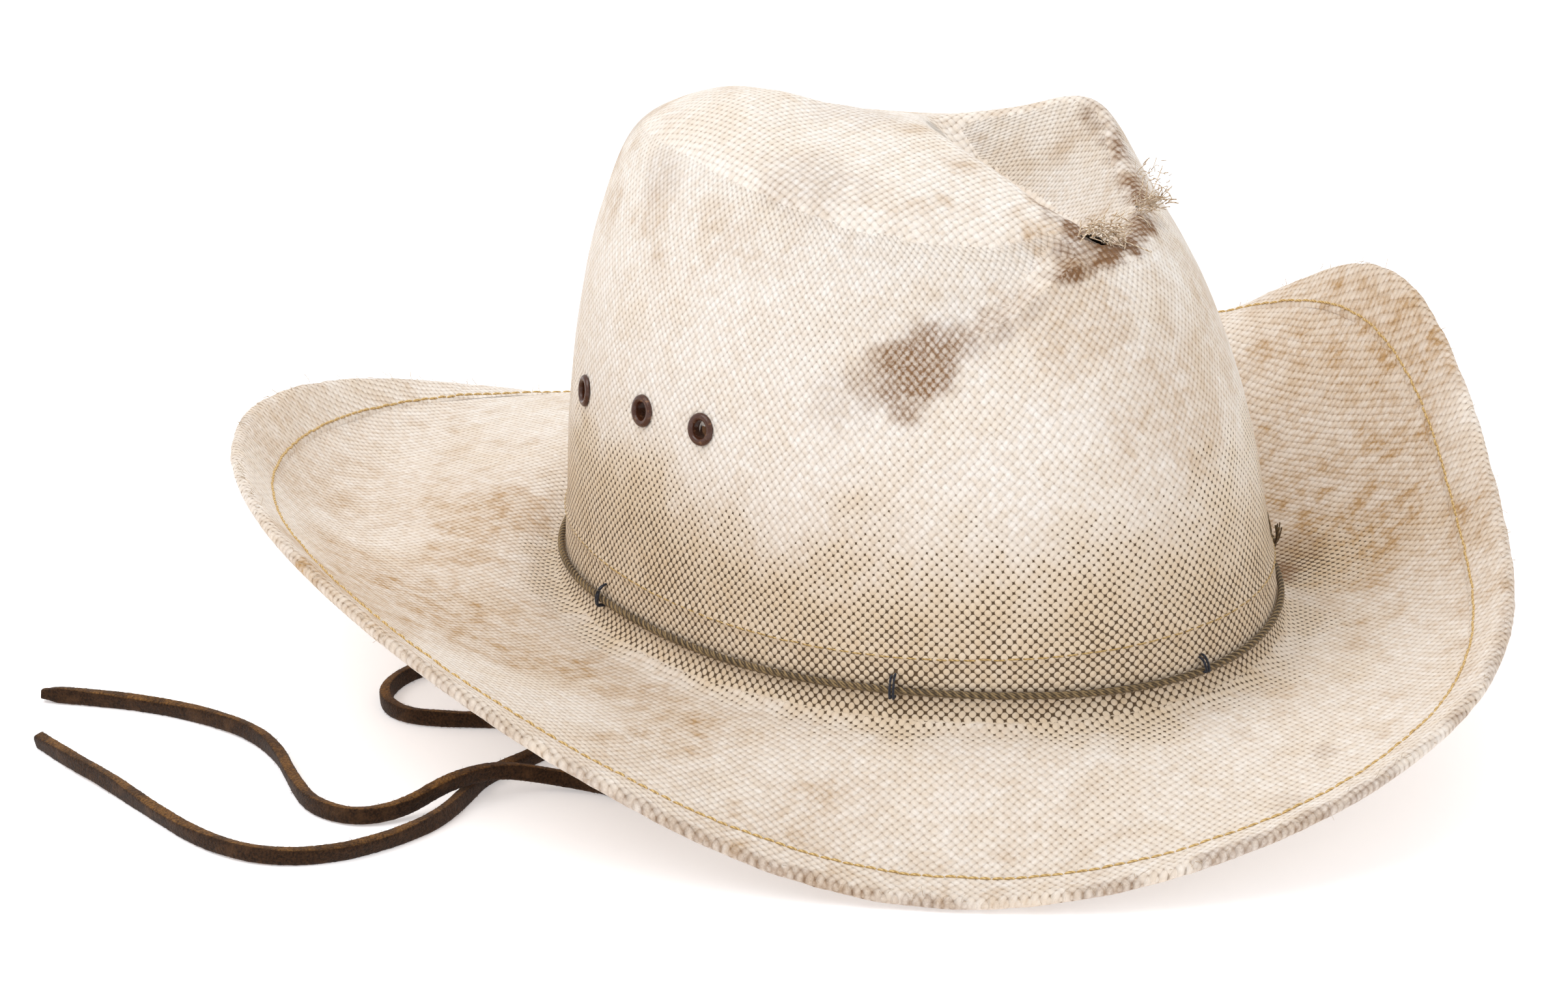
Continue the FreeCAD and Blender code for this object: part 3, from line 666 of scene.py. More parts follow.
fan_outer = np.stack([first, np.roll(first, -1), np.full(COLUMNS, top_outer)], -1)
fan_inner = np.stack([np.roll(first, -1) + len(outer_points), first + len(outer_points),
                      np.full(COLUMNS, top_inner)], -1)
faces = quads.tolist() + fan_outer.tolist() + fan_inner.tolist()
shell = new_object("straw_shell", all_points + BASE, faces)

# distance up the wall from the base, for the weave
wall = skin(levels[:, None], angle_row[None, :])
step = np.linalg.norm(np.diff(wall, axis=0), axis=-1)
height_up = np.concatenate([np.zeros((1, COLUMNS)), np.cumsum(step, axis=0)])
base_row = CROWN_ROWS - 1
height_up = height_up[base_row] - height_up
run_up = np.interp(s_all, levels, height_up.mean(axis=1))
run_up[:len(outer_points)] = height_up.ravel()

mesh = shell.data
loop_vertex = loops_of(mesh)
loop_face = np.repeat(np.arange(len(mesh.polygons)),
                      [p.loop_total for p in mesh.polygons])
face_normal = read_all(mesh.polygons, "normal", 3)
loop_s = s_all[loop_vertex]
face_s = np.bincount(loop_face, loop_s) / np.bincount(loop_face)
face_points = all_points[loop_vertex]
loop_angle = a_all[loop_vertex].copy()
face_low = np.full(len(mesh.polygons), 9.0)
np.minimum.at(face_low, loop_face, loop_angle)
face_high = np.zeros(len(mesh.polygons))
np.maximum.at(face_high, loop_face, loop_angle)
wraps = (face_high - face_low > math.pi)[loop_face] & (loop_angle < math.pi)
loop_angle[wraps] += 2 * math.pi
hoop, climb = loop_angle / (2 * math.pi) * HOOP, run_up[loop_vertex]
on_brim = (face_s > 1.45)[loop_face]
on_top = ((np.abs(face_normal[:, 2]) > 0.74) & (face_s < 0.55))[loop_face]
diagonal = math.sqrt(2) * PITCH
weave = np.stack([(hoop + climb) / diagonal, (hoop - climb) / diagonal], -1)
flat = face_points[:, :2] / PITCH
weave[on_brim] = flat[on_brim]
weave[on_top] = flat[on_top]
set_uv(mesh, "weave", weave)


def add_marks(mesh, values):
    layer = mesh.color_attributes.new("marks", "FLOAT_COLOR", "POINT")
    layer.data.foreach_set("color", np.asarray(values, np.float32).ravel())


add_marks(mesh, marks_at(all_points, s_all, a_all))
STRAW_MATERIAL = straw_material()
finish_piece(shell, STRAW_MATERIAL, "straw_body", slot="straw")

# ------------------------------------------------------------------ turned-over edge
# distance in from the edge and height over the brim, round the fold
HEM_PROFILE = ((9.8, -0.1), (9.3, 0.45), (8.3, 0.55), (6.5, 0.75), (4.5, 0.85), (2.5, 1.0), (1.0, 0.9),
               (0.0, 0.35), (-0.5, -0.35), (-0.6, -1.1), (-0.2, -1.8), (0.8, -2.3), (2.5, -2.5),
               (5.0, -2.4), (9.0, -2.3), (9.8, -1.5))
hem_columns = 2000
hem_angle = full_turn(hem_columns)


def hem_points(inset, lift, angle):
    """Places on the turned edge; a negative inset stands out past the rim."""
    level = np.minimum(level_at_inset(np.maximum(inset, 0.05), angle), 3)
    point = skin(level, angle)
    normal = outward(level, angle)
    across = radial(angle)
    across = unit(across - normal * (across * normal).sum(-1, keepdims=True))
    past = np.minimum(inset, 0)[..., None]
    return point + normal * np.asarray(lift)[..., None] - across * past


def edge_pucker(centre):
    """Coarse and fine unevenness of the turned edge, about zero."""
    return noise(centre, 9.0, 31, 2) - 0.5, noise(centre, 3.0, 32, 2) - 0.5


hem_rows = []
for inset, lift in HEM_PROFILE:
    centre = hem_points(np.full(hem_columns, inset), np.full(hem_columns, lift), hem_angle)
    pucker, ripple = edge_pucker(centre)
    fullness = 0.5 + 0.5 * noise(skin(3 + 0 * hem_angle, hem_angle), 25, 33, 2)
    inset_now = inset + 0.9 * pucker * (inset < 3) + 0.5 * ripple * (inset < 1)
    if inset > 9:
        inset_now = inset + 0.5 * pucker
    lift_now = lift + (0.7 * pucker + 0.35 * ripple) * (0.3 < lift) + 0.3 * (fullness - 0.7)
    hem_rows.append(hem_points(inset_now, lift_now, hem_angle))
hem_grid = np.stack(hem_rows)
hem = new_object("brim_turned_edge", hem_grid.reshape(-1, 3) + BASE,
                 grid_faces(len(HEM_PROFILE), hem_columns).tolist())
hem_flat = hem_grid.reshape(-1, 3)
index = loops_of(hem.data)
hem_xy = hem_flat[index]
set_uv(hem.data, "weave", hem_xy[:, :2] / PITCH + 0.5)
hem_angle_all = np.tile(hem_angle, len(HEM_PROFILE))
hem_inset_all = np.repeat([p[0] for p in HEM_PROFILE], hem_columns)
hem_marks = marks_at(hem_flat, np.full(len(hem_flat), 2.9), hem_angle_all)
front = rise(np.cos(hem_angle_all - math.radians(240)), 0.35, 0.9)
grubby = rise(2.2 - hem_inset_all + 2.5 * (noise(hem_flat, 4, 34, 3) - 0.5), 0, 2.0)
worn_edge = grubby * (0.25 + 0.75 * front) * rise(noise(hem_flat, 12, 35, 2), 0.3, 0.6)
hem_marks[:, 2] = np.maximum(hem_marks[:, 2], 0.6 * worn_edge)
hem_marks[:, 0] = np.maximum(0.3 * hem_marks[:, 0], 0.12 * grubby)
add_marks(hem.data, hem_marks)
finish_piece(hem, STRAW_MATERIAL, "straw_body", slot="straw")


# ------------------------------------------------------------------ threads
def tube_arrays(paths, radii, sides=6, closed=False):
    """Vertices, faces and UVs of tubes along paths of equal point counts."""
    paths = np.asarray(paths, float)
    count, points = paths.shape[:2]
    if closed:
        tangent = np.roll(paths, -1, axis=1) - np.roll(paths, 1, axis=1)
    else:
        tangent = np.gradient(paths, axis=1)
    tangent = unit(tangent)
    hint = np.where(np.abs(tangent[..., 2:3]) > 0.9, np.array([1.0, 0, 0]), np.array([0, 0, 1.0]))
    side = unit(np.cross(tangent, hint))
    other = np.cross(side, tangent)
    turn = full_turn(sides)
    radii = np.broadcast_to(np.asarray(radii, float), (count, points))
    circle = (side[..., None, :] * np.cos(turn)[:, None] + other[..., None, :] * np.sin(turn)[:, None])
    verts = paths[..., None, :] + circle * radii[..., None, None]
    r = np.arange(points if closed else points - 1)[:, None]
    c = np.arange(sides)[None, :]
    r2 = (r + 1) % points
    quad = np.stack([r * sides + c, r * sides + (c + 1) % sides,
                     r2 * sides + (c + 1) % sides, r2 * sides + c], -1).reshape(-1, 4)
    quad = (quad[None] + (np.arange(count) * points * sides)[:, None, None]).reshape(-1, 4)
    faces = quad.tolist()
    if not closed:
        for k in range(count):
            start = k * points * sides
            faces.append([start + i for i in range(sides)][::-1])
            faces.append([start + (points - 1) * sides + i for i in range(sides)])
    length = np.concatenate([np.zeros((count, 1)),
                             np.cumsum(np.linalg.norm(np.diff(paths, axis=1), axis=-1), axis=1)], 1)
    u = np.repeat(length[..., None], sides, axis=-1) * MM
    v = np.broadcast_to(turn / (2 * math.pi), u.shape)
    return verts.reshape(-1, 3), faces, np.stack([u, v], -1).reshape(-1, 2)


def tube_object(name, paths, radii, sides, closed=False, base=BASE):
    verts, faces, uv = tube_arrays(paths, radii, sides, closed)
    thing = new_object(name, verts + base, faces)
    set_uv(thing.data, "run", uv[loops_of(thing.data)])
    return thing


HEM_THREAD = thread_material("hem_thread", srgb(178, 142, 84), srgb(232, 202, 140), 5200)
TWINE = thread_material("twine", srgb(66, 52, 34), srgb(150, 126, 88), 2600, 0.8)
TACK = thread_material("tack_thread", srgb(16, 18, 26), srgb(52, 54, 66), 5200)


def stitches(name, angle_of, place_of, count, length, radius, bulge, node, material, slot):
    """A row of separate stitches that dive into the cloth at both ends."""
    part = np.linspace(-0.5, 0.5, 7)
    middle = full_turn(count, 0.5)
    jitter = rng.normal(0, 0.04, count) * length
    angle = middle[:, None] + (part[None] * length + jitter[:, None]) * angle_of
    arch = bulge * (1 - (2 * part) ** 4) - 0.35
    aside = rng.normal(0, 0.12, count)[:, None] + rng.normal(0, 0.12, count)[:, None] * part
    paths = place_of(angle, np.broadcast_to(arch, angle.shape), aside)
    thing = tube_object(name, paths, radius, 5)
    return finish_piece(thing, material, node, slot=slot)


HEM_STITCH_INSET = 8.4


def hem_stitch_place(angle, lift, aside):
    a, aside = angle.ravel(), np.broadcast_to(aside, angle.shape).ravel()
    pucker, ripple = edge_pucker(hem_points(HEM_STITCH_INSET + 0 * a, 0 * a, a))
    level = 0.55 + 0.7 * pucker + 0.35 * ripple + lift.ravel()
    return hem_points(HEM_STITCH_INSET + 0.6 * aside, level, a).reshape(angle.shape + (3,))


stitches("hem_stitches", 1 / 167, hem_stitch_place, 330, 2.9, 0.36, 0.55, "brim_hem_stitching",
         HEM_THREAD, "hem_thread")


def wall_place(angle, lift, height):
    shape = angle.shape
    a = angle.ravel()
    level = crown_level(a, height.ravel())
    return (skin(level, a) + outward(level, a) * lift.ravel()[:, None]).reshape(shape + (3,))


def band_stitch_place(angle, lift, aside):
    height = band_stitch_height(angle) + aside * 0.5
    return wall_place(angle, lift + 0.45, height)


STRAW_THREAD = thread_material("straw_thread", srgb(150, 118, 66), srgb(220, 188, 126), 5200)
stitches("sweatband_stitches", 1 / 93, band_stitch_place, 170, 3.0, 0.24, 0.3, "sweatband_stitching",
         STRAW_THREAD, "hem_thread")


def twine_height(angle):
    return TWINE_RISE + 0.7 * np.sin(angle * 2 + 1.0) + 0.5 * np.sin(angle * 5)


# twine: three strands twisted together round the base of the crown
twine_points = 2400
angle = full_turn(twine_points)
level = crown_level(angle, twine_height(angle))
core = skin(level, angle) + outward(level, angle) * 0.95
normal = outward(level, angle)
upward = np.cross(radial(angle + math.pi / 2), normal)
strands = []
for k in range(3):
    turn = angle * 95 + k * 2 * math.pi / 3
    strands.append(core + normal * (0.46 * np.cos(turn))[:, None]
                   + upward * (0.5 * np.sin(turn))[:, None])
twine = tube_object("hatband_twine_strands", strands, 0.52, 6, closed=True)
finish_piece(twine, TWINE, "hatband_twine", slot="twine")

# ------------------------------------------------------------------ laces
# The same routes as the CAD solids: x and y from the middle of the head oval, height over
# the floor.
F = 2.1  # height of a lace's middle where it lies on the floor
ROUTES = {
    "right": [(-74.5, 1.5, 11.0), (-73, 9, 5.0), (-72, 20, F), (-73, 36, F), (-76, 53, F), (-84, 70, F),
              (-97, 80, F), (-111, 79, F), (-122, 71, F), (-125, 59, F), (-117, 48, F), (-107, 39, F),
              (-101, 28, F), (-106, 18, F), (-119, 16, F), (-133, 15, F), (-145, 8, F), (-158, 2, F),
              (-174, 1, F), (-189, 4, F), (-201, 14, F), (-206, 31, F), (-205, 53, F), (-203, 76, F),
              (-203, 92, F), (-202, 107, F)],
    "left": [(74.5, -1.5, 11.0), (70, -6, 5.0), (60, -11, F), (42, -14, F), (18, -9, F), (-8, -13, F),
             (-34, -10, F), (-58, -17, F), (-78, -30, F), (-96, -34, F), (-108, -25, F), (-114, -10, F),
             (-122, 2, 3.2), (-134, 8, 6.9), (-148, 10, 6.9), (-160, 11, 3.2), (-171, 16, F),
             (-175, 29, F), (-169, 45, F), (-162, 60, F), (-159, 76, F), (-162, 92, F), (-168, 107, F),
             (-176, 120, F), (-185, 132, F)],
}
LACE_WIDTH, LACE_THICK = 4.1, 3.1


def route_points(name, route):
    """Points along the smooth line that the route pulls, in mm."""
    data = bpy.data.curves.new(name + "_line", "CURVE")
    data.dimensions = "3D"
    data.resolution_u = 12
    spline = data.splines.new("NURBS")
    spline.points.add(len(route) - 1)
    for point, (x, y, z) in zip(spline.points, route):
        point.co = ((x + BASE[0]) * MM, (y + BASE[1]) * MM, z * MM, 1.0)
    spline.order_u = 3
    spline.use_endpoint_u = True
    holder = bpy.data.objects.new(name + "_line", data)
    line = bpy.data.meshes.new_from_object(holder)
    points = np.array([v.co[:] for v in line.vertices]) / MM
    bpy.data.objects.remove(holder)
    bpy.data.meshes.remove(line)
    return points


def even_points(points, step):
    """The same line with points every step mm."""
    run = np.concatenate([[0], np.cumsum(np.linalg.norm(np.diff(points, axis=0), axis=1))])
    count = max(int(run[-1] / step), 4)
    at = np.linspace(0, run[-1], count + 1)
    return np.stack([np.interp(at, run, points[:, k]) for k in range(3)], -1), run[-1]


def lace_section(sides=20):
    """Rounded rectangle, as across and upward shares of half the width and half the thickness."""
    turn = full_turn(sides, 0.5)
    c, s = np.cos(turn), np.sin(turn)
    return np.sign(c) * np.abs(c) ** 0.45, np.sign(s) * np.abs(s) ** 0.45


def lace_material():
    n = Nodes("lace_suede")
    place = n.place()
    side_face = n.uv("run")[1]
    nap = n.noise(place, 1700, 4, 0.7)
    cloud = n.noise(place, 160, 3, 0.6)
    base = n.mix(n.ramp(nap, 0.3, 0.72), srgb(30, 18, 9), srgb(70, 46, 27))
    base = n.mix(n.ramp(cloud, 0.5, 0.75, 0.0, 0.55), base, srgb(92, 64, 40))
    edge = n.mix(n.ramp(nap, 0.3, 0.75), srgb(70, 44, 20), srgb(150, 106, 54))
    color = n.mix(n.times(side_face, n.ramp(cloud, 0.35, 0.6, 0.25, 0.95)), base, edge)
    normal = n.bump(n.plus(nap, n.times(cloud, 0.6)), 0.00035, 1.0)
    return n.finish(color, 0.95, normal, Sheen_Weight=0.12, Specular_IOR_Level=0.1)


LACE = lace_material()


def lace_tube(name, points, taper):
    """Suede thong along the points, its wide faces beside the line."""
    sides = 20
    across_share, up_share = lace_section(sides)
    count = len(points)
    tangent = unit(np.gradient(points, axis=0))
    side = unit(np.cross(tangent, UPWARD))
    upward = np.cross(side, tangent)
    run = np.linspace(0, 1, count) * count
    wobble = 0.16 * (noise(points * np.array([1, 1, 0]) + 5, 9, 41, 2) - 0.5)
    twist = 0.22 * np.sin(run / 19.0)
    half_across = LACE_THICK / 2 * (1 + wobble)
    half_up = LACE_WIDTH / 2 * (1 - wobble)
    if taper:
        close = np.clip((count - 1 - np.arange(count)) / 9.0, 0, 1)
        half_up = half_up * (0.62 + 0.38 * close)
        half_across = half_across * (0.9 + 0.1 * close)
    a = across_share[None] * half_across[:, None]
    b = up_share[None] * half_up[:, None]
    grain = 0.12 * (noise(np.stack([a.ravel() + 50, b.ravel() + 50, np.repeat(run * 1.5, sides)], -1),
                          1.1, 42, 2) - 0.5).reshape(a.shape)
    a, b = a * (1 + grain), b * (1 + grain)
    turned_a = a * np.cos(twist)[:, None] - b * np.sin(twist)[:, None]
    turned_b = a * np.sin(twist)[:, None] + b * np.cos(twist)[:, None]
    verts = (points[:, None] + side[:, None] * turned_a[..., None]
             + upward[:, None] * turned_b[..., None])
    verts[..., 2] = np.maximum(verts[..., 2], 0.05)
    faces = grid_faces(count, sides).tolist()
    faces.append([i for i in range(sides)][::-1])
    faces.append([(count - 1) * sides + i for i in range(sides)])
    thing = new_object(name, verts.reshape(-1, 3), faces)
    narrow = (np.abs(up_share) > 0.93) & (np.abs(across_share) < 0.9)
    uv = np.stack([np.repeat(run, sides) * 0.001, np.tile(narrow.astype(float), count)], -1)
    set_uv(thing.data, "run", uv[loops_of(thing.data)])
    return thing


def fuzz(name, points, normals, length, radius, count, seed):
    """Short bent fibres that stand out of a surface."""
    pick = np.random.default_rng(seed)
    which = pick.integers(0, len(points), count)
    start, out = points[which], normals[which]
    bend = pick.normal(0, 1, (count, 3))
    way = unit(out + 0.75 * bend)
    reach = length * pick.uniform(0.35, 1.0, count)[:, None]
    paths = np.stack([start, start + way * reach * 0.5,
                      start + way * reach * 0.8 + 0.25 * reach * pick.normal(0, 1, (count, 3))], 1)
    return tube_object(name, paths, radius, 3, base=0)


def join_into(target, *others):
    """Add the other meshes to the target's own mesh."""
    build = bmesh.new()
    build.from_mesh(target.data)
    for other in others:
        build.from_mesh(other.data)
    build.to_mesh(target.data)
    build.free()
    for other in others:
        bpy.data.objects.remove(other)
    return target


for side, route in ROUTES.items():
    line = route_points("lace_" + side, route)
    path, _ = even_points(line, 0.5)
    thong = lace_tube("lace_" + side, path, side == "left")
    vertices = thong.data.vertices
    spots, ways = read_all(vertices, "co", 3) / MM, read_all(vertices, "normal", 3)
    nap = fuzz("lace_nap_" + side, spots, ways, 1.0, 0.035, 5200, 51)
    join_into(thong, nap)
    finish_piece(thong, LACE, "chin_lace_" + side, slot="lace_suede")
    # a tight overhand knot at the loop: two turns
    centre = np.array([ROUTES[side][0][0] + BASE[0], ROUTES[side][0][1] + BASE[1], 13.2])
    turns = full_turn(40)
    rings = []
    for tilt, reach, shift in ((0.5, 2.35, 0.6), (-0.6, 2.25, -0.7)):
        circle = np.stack([reach * np.cos(turns), reach * np.sin(turns) * math.cos(tilt),
                           reach * np.sin(turns) * math.sin(tilt) + shift], -1)
        rings.append(circle + centre)
    verts, faces, uv = tube_arrays(rings, 1.7, 12, closed=True)
    knot = new_object("lace_tied_knot_" + side, verts, faces)
    set_uv(knot.data, "run", uv[loops_of(knot.data)] * 0)
    finish_piece(knot, LACE, "lace_knot_" + side, slot="lace_suede")

# ------------------------------------------------------------------ leather band and loops inside


def leather_material(name, dark, light, scale=1.0):
    n = Nodes(name)
    place = n.place()
    grain = n.node("ShaderNodeTexVoronoi", feature="DISTANCE_TO_EDGE")
    n.put(grain.inputs["Vector"], place)
    grain.inputs["Scale"].default_value = 900 * scale
    cloud = n.noise(place, 35, 4, 0.6)
    color = n.mix(n.ramp(cloud, 0.3, 0.7), dark, light)
    color = n.mix(n.ramp(grain.outputs["Distance"], 0.0, 0.12, 0.35, 0.0), color, dark)
    normal = n.bump(n.ramp(grain.outputs["Distance"], 0.0, 0.15), 0.00012, 0.6)
    return n.finish(color, 0.55, normal, Specular_IOR_Level=0.4)


BAND_GAP, BAND_THICK = 0.25, 1.2
LEATHER = leather_material("sweatband_leather", srgb(104, 72, 46), srgb(156, 114, 76))
band_angle = full_turn(480)


def band_point(angle, height, depth):
    """Place on the band: height over the crown base and depth in from the straw."""
    wall = crown(0.001 + 0.125 * height / 22.0, angle)
    point = wall - radial(angle) * (STRAW + BAND_GAP + depth)[:, None]
    point[:, 2] = height
    return point


BAND_PROFILE = ((0.9, 0.1), (16, 0.05), (31.2, 0.1), (32.0, 0.6), (31.4, 1.2), (30.0, 1.25), (16, 1.1),
                (3.0, 1.2), (1.4, 1.25), (0.4, 0.7))
band_rows = []
for height, depth in BAND_PROFILE:
    wave = 0.35 * np.sin(band_angle * 7 + height * 0.1) * (height > 25)
    band_rows.append(band_point(band_angle, height + wave, depth + 0 * band_angle))
band_rows.append(band_rows[0])
band = new_object("leather_sweatband", np.stack(band_rows).reshape(-1, 3) + BASE,
                  grid_faces(len(band_rows), len(band_angle)).tolist())
finish_piece(band, LEATHER, "sweatband", slot="sweatband_leather")


def wall_inside(degrees, height, extra):
    a = np.array([math.radians(degrees)])
    return band_point(a, np.array([float(height)]), np.array([BAND_THICK + extra]))[0] + BASE


for side, degrees in (("right", 180), ("left", 0)):
    top = wall_inside(degrees, 14, 0.1)
    inward = -math.cos(math.radians(degrees))
    profile = []
    for outer in (2.2, 1.3):
        ring_points = []
        for turn in full_turn(48):
            x = outer * math.cos(turn)
            z = outer * math.sin(turn)
            z += (-2.2) if z > 0 else (-16.8)
            ring_points.append((top[0] + inward * 2.2 + x, z + top[2]))
        profile.append(ring_points)
    verts = []
    for ring_points, way in ((profile[0], -1), (profile[0], 1), (profile[1], 1), (profile[1], -1),
                             (profile[0], -1)):
        verts += [(x, top[1] + 3.4 * way, z) for x, z in ring_points]
    loop = new_object("leather_loop_" + side, verts, grid_faces(5, 48).tolist(), smooth=False)
    bevel = loop.modifiers.new("soft", "BEVEL")
    bevel.width, bevel.segments = 0.0003, 2
    finish_piece(loop, LEATHER, "lace_loop_" + side, slot="sweatband_leather")

# small ribbon bow at the back of the band
RIBBON = thread_material("bow_ribbon", srgb(60, 40, 26), srgb(112, 78, 52), 3000, 0.6, 0.3)
bow_middle = wall_inside(90, 9, 0.1)
bow_verts, bow_faces = [], []
for way in (-1, 1):
    start = len(bow_verts)
    turn = full_turn(28)
    for wide in (-1, 0, 1):
        for a in turn:
            reach = 4.4 + 4.3 * math.cos(a)
            flare = 0.35 + 0.65 * (reach / 8.7)
            bow_verts.append((bow_middle[0] + way * reach,
                              bow_middle[1] - 0.75 - 0.55 * math.sin(a) * flare,
                              bow_middle[2] + wide * 2.7 * flare + 0.25 * math.sin(a)))
    bow_faces += (grid_faces(3, 28) + start).tolist()
bow = new_object("ribbon_bow", np.array(bow_verts), bow_faces)
thick = bow.modifiers.new("thick", "SOLIDIFY")
thick.thickness, thick.offset = 0.0003, 0.0
wrap = np.stack([0 * turn, 0.95 * np.cos(turn), 1.5 * np.sin(turn)], -1)
wrap_rings = [bow_middle + np.array([dx, -0.95, 0]) + wrap * np.array([1, grow, grow])
              for dx, grow in ((-1.2, 0.5), (-0.9, 0.95), (0, 1.05), (0.9, 0.95), (1.2, 0.5))]
wrap_faces = grid_faces(5, 28).tolist()
middle_wrap = new_object("bow_middle_wrap", np.concatenate(wrap_rings), wrap_faces)
for piece in (bow, middle_wrap):
    set_uv(piece.data, "run", np.zeros((len(piece.data.loops), 2)))
join_into(bow, middle_wrap)
finish_piece(bow, RIBBON, "sweatband_bow", slot="bow_ribbon")

# ------------------------------------------------------------------ eyelets and washers


def lathe(name, profile, sides, place, normal):
    """Turn a closed profile of (radius, height) about the normal at a place in mm."""
    axis = Vector(normal)
    frame_turn = axis.to_track_quat("Z", "Y").to_matrix()
    turn = full_turn(sides)
    profile = list(profile) + [profile[0]]
    verts = np.array([[r * math.cos(t), r * math.sin(t), h] for r, h in profile for t in turn])
    verts = verts @ np.array(frame_turn).T + place
    return new_object(name, verts, grid_faces(len(profile), sides, flip=True).tolist())


def enamel_material():
    n = Nodes("eyelet_enamel")
    place = n.place()
    wear = n.noise(place, 700, 4, 0.65)
    dust = n.noise(place, 1500, 3, 0.6)
    color = n.mix(n.ramp(wear, 0.58, 0.7), srgb(70, 36, 20), srgb(128, 88, 56))
    color = n.mix(n.ramp(dust, 0.62, 0.8, 0.0, 0.6), color, srgb(150, 128, 98))
    rough = n.ramp(wear, 0.4, 0.75, 0.24, 0.5)
    return n.finish(color, rough, n.bump(dust, 0.00004, 0.6), Specular_IOR_Level=0.5)


ENAMEL = enamel_material()
steel = Nodes("washer_metal")
STEEL = steel.finish(steel.mix(steel.ramp(steel.noise(steel.place(), 500), 0.4, 0.7),
                               srgb(150, 142, 128), srgb(104, 92, 74)), 0.4, None, Metallic=0.85)
FLANGE = [(2.25, -0.05), (2.3, 0.35), (2.5, 0.68), (2.85, 0.88), (3.25, 0.9), (3.65, 0.78), (3.95, 0.5),
          (4.1, 0.15), (4.12, 0.0), (3.3, 0.0), (2.6, 0.0), (2.6, -2.6), (3.3, -2.75), (3.35, -3.0),
          (2.6, -3.1), (2.3, -2.95), (2.25, -2.6)]
for side, (spot, normal) in eyelet_spots.items():
    place = np.array(spot) + BASE
    eyelet = lathe("eyelet_ring_" + side, FLANGE, 48, place + normal * 0.25, normal)
    finish_piece(eyelet, ENAMEL, "eyelet_" + side, slot="eyelet_enamel")
    washer = lathe("washer_ring_" + side, [(2.7, -1.95), (4.65, -1.95), (4.7, -2.05), (4.65, -2.35),
                                           (2.7, -2.35)], 40, place, normal)
    finish_piece(washer, STEEL, "washer_" + side, slot="washer_metal")

# ------------------------------------------------------------------ tacks, knot and loose ends
for name, degrees in (("side", 159.8), ("front", 222.8), ("left", 270.0)):
    paths = []
    for k, shift in enumerate((-0.45, 0.45)):
        a = np.full(13, math.radians(degrees) + shift / 93)
        turn = np.linspace(0, math.pi, 13)
        height = twine_height(a) + (3.4 + 0.5 * k) * np.cos(turn)
        lift = 0.1 + 2.3 * np.sin(turn)
        at = crown_level(a, height)
        paths.append(skin(at, a) + outward(at, a) * lift[:, None])
    tack = tube_object("tack_loop_" + name, paths, 0.32, 8)
    finish_piece(tack, TACK, "tack_thread_" + name, slot="tack_thread")

knot_angle = np.array([math.radians(322.0)])
at = crown_level(knot_angle, np.array([TWINE_RISE]))
knot_out = outward(at, knot_angle)[0]
knot_spot = skin(at, knot_angle)[0] + knot_out * 3.6
knot_side = np.array([-math.sin(knot_angle[0]), math.cos(knot_angle[0]), 0])
turn = full_turn(40)
knot_rings = []
for a, b, c in ((0.9, 0.4, 0.7), (-0.8, -0.5, -0.6), (0.1, 1.2, 0.0)):
    ring_way = knot_side * math.cos(a) + UPWARD * math.sin(a)
    tilted = knot_out * math.cos(b) + np.cross(ring_way, knot_out) * math.sin(b)
    knot_rings.append(knot_spot + knot_side * c + (1.5 * np.cos(turn))[:, None] * ring_way
                      + (1.3 * np.sin(turn))[:, None] * tilted)
knot_parts = [tube_object("twine_knot_body", knot_rings, 0.85, 8, closed=True)]
knot_rng = np.random.default_rng(11)
ends = []
for way, tall in ((1, 5.0), (-1, 8.0)):
    for k in range(9):
        spread = knot_rng.normal(0, 1, 3)
        s = np.linspace(0, 1, 9)[:, None]
        line = knot_spot + knot_side * (way * 8.2 * s) + UPWARD * tall * s ** 1.8
        line = line + spread * (0.25 + 0.9 * s ** 3) * 0.6 + knot_out * 0.9 * np.sin(s * 3)
        ends.append(line)
knot_parts.append(tube_object("twine_knot_ends", ends, 0.2, 5))
knot_piece = join_into(*knot_parts)
finish_piece(knot_piece, TWINE, "twine_knot", slot="twine")

# strands pulled out of the straw where it is worn through
LOOSE = thread_material("loose_straw", srgb(176, 138, 92), srgb(250, 240, 222), 4000, 0.7, 0.1)
loose_rng = np.random.default_rng(17)
strand_paths, strand_radii = [], []


def add_strands(middle, spread, count, length, radius, lean):
    for _ in range(count):
        start = np.array(middle) + loose_rng.normal(0, 1, 3) * spread
        way = unit(np.array(lean) + loose_rng.normal(0, 0.55, 3))
        curl = loose_rng.normal(0, 1, 3)
        s = np.linspace(0, 1, 7)[:, None]
        reach = length * loose_rng.uniform(0.4, 1.0)
        strand_paths.append(start + way * reach * s + curl * reach * 0.35 * s ** 2)
        strand_radii.append(np.full(7, radius * loose_rng.uniform(0.6, 1.2)))


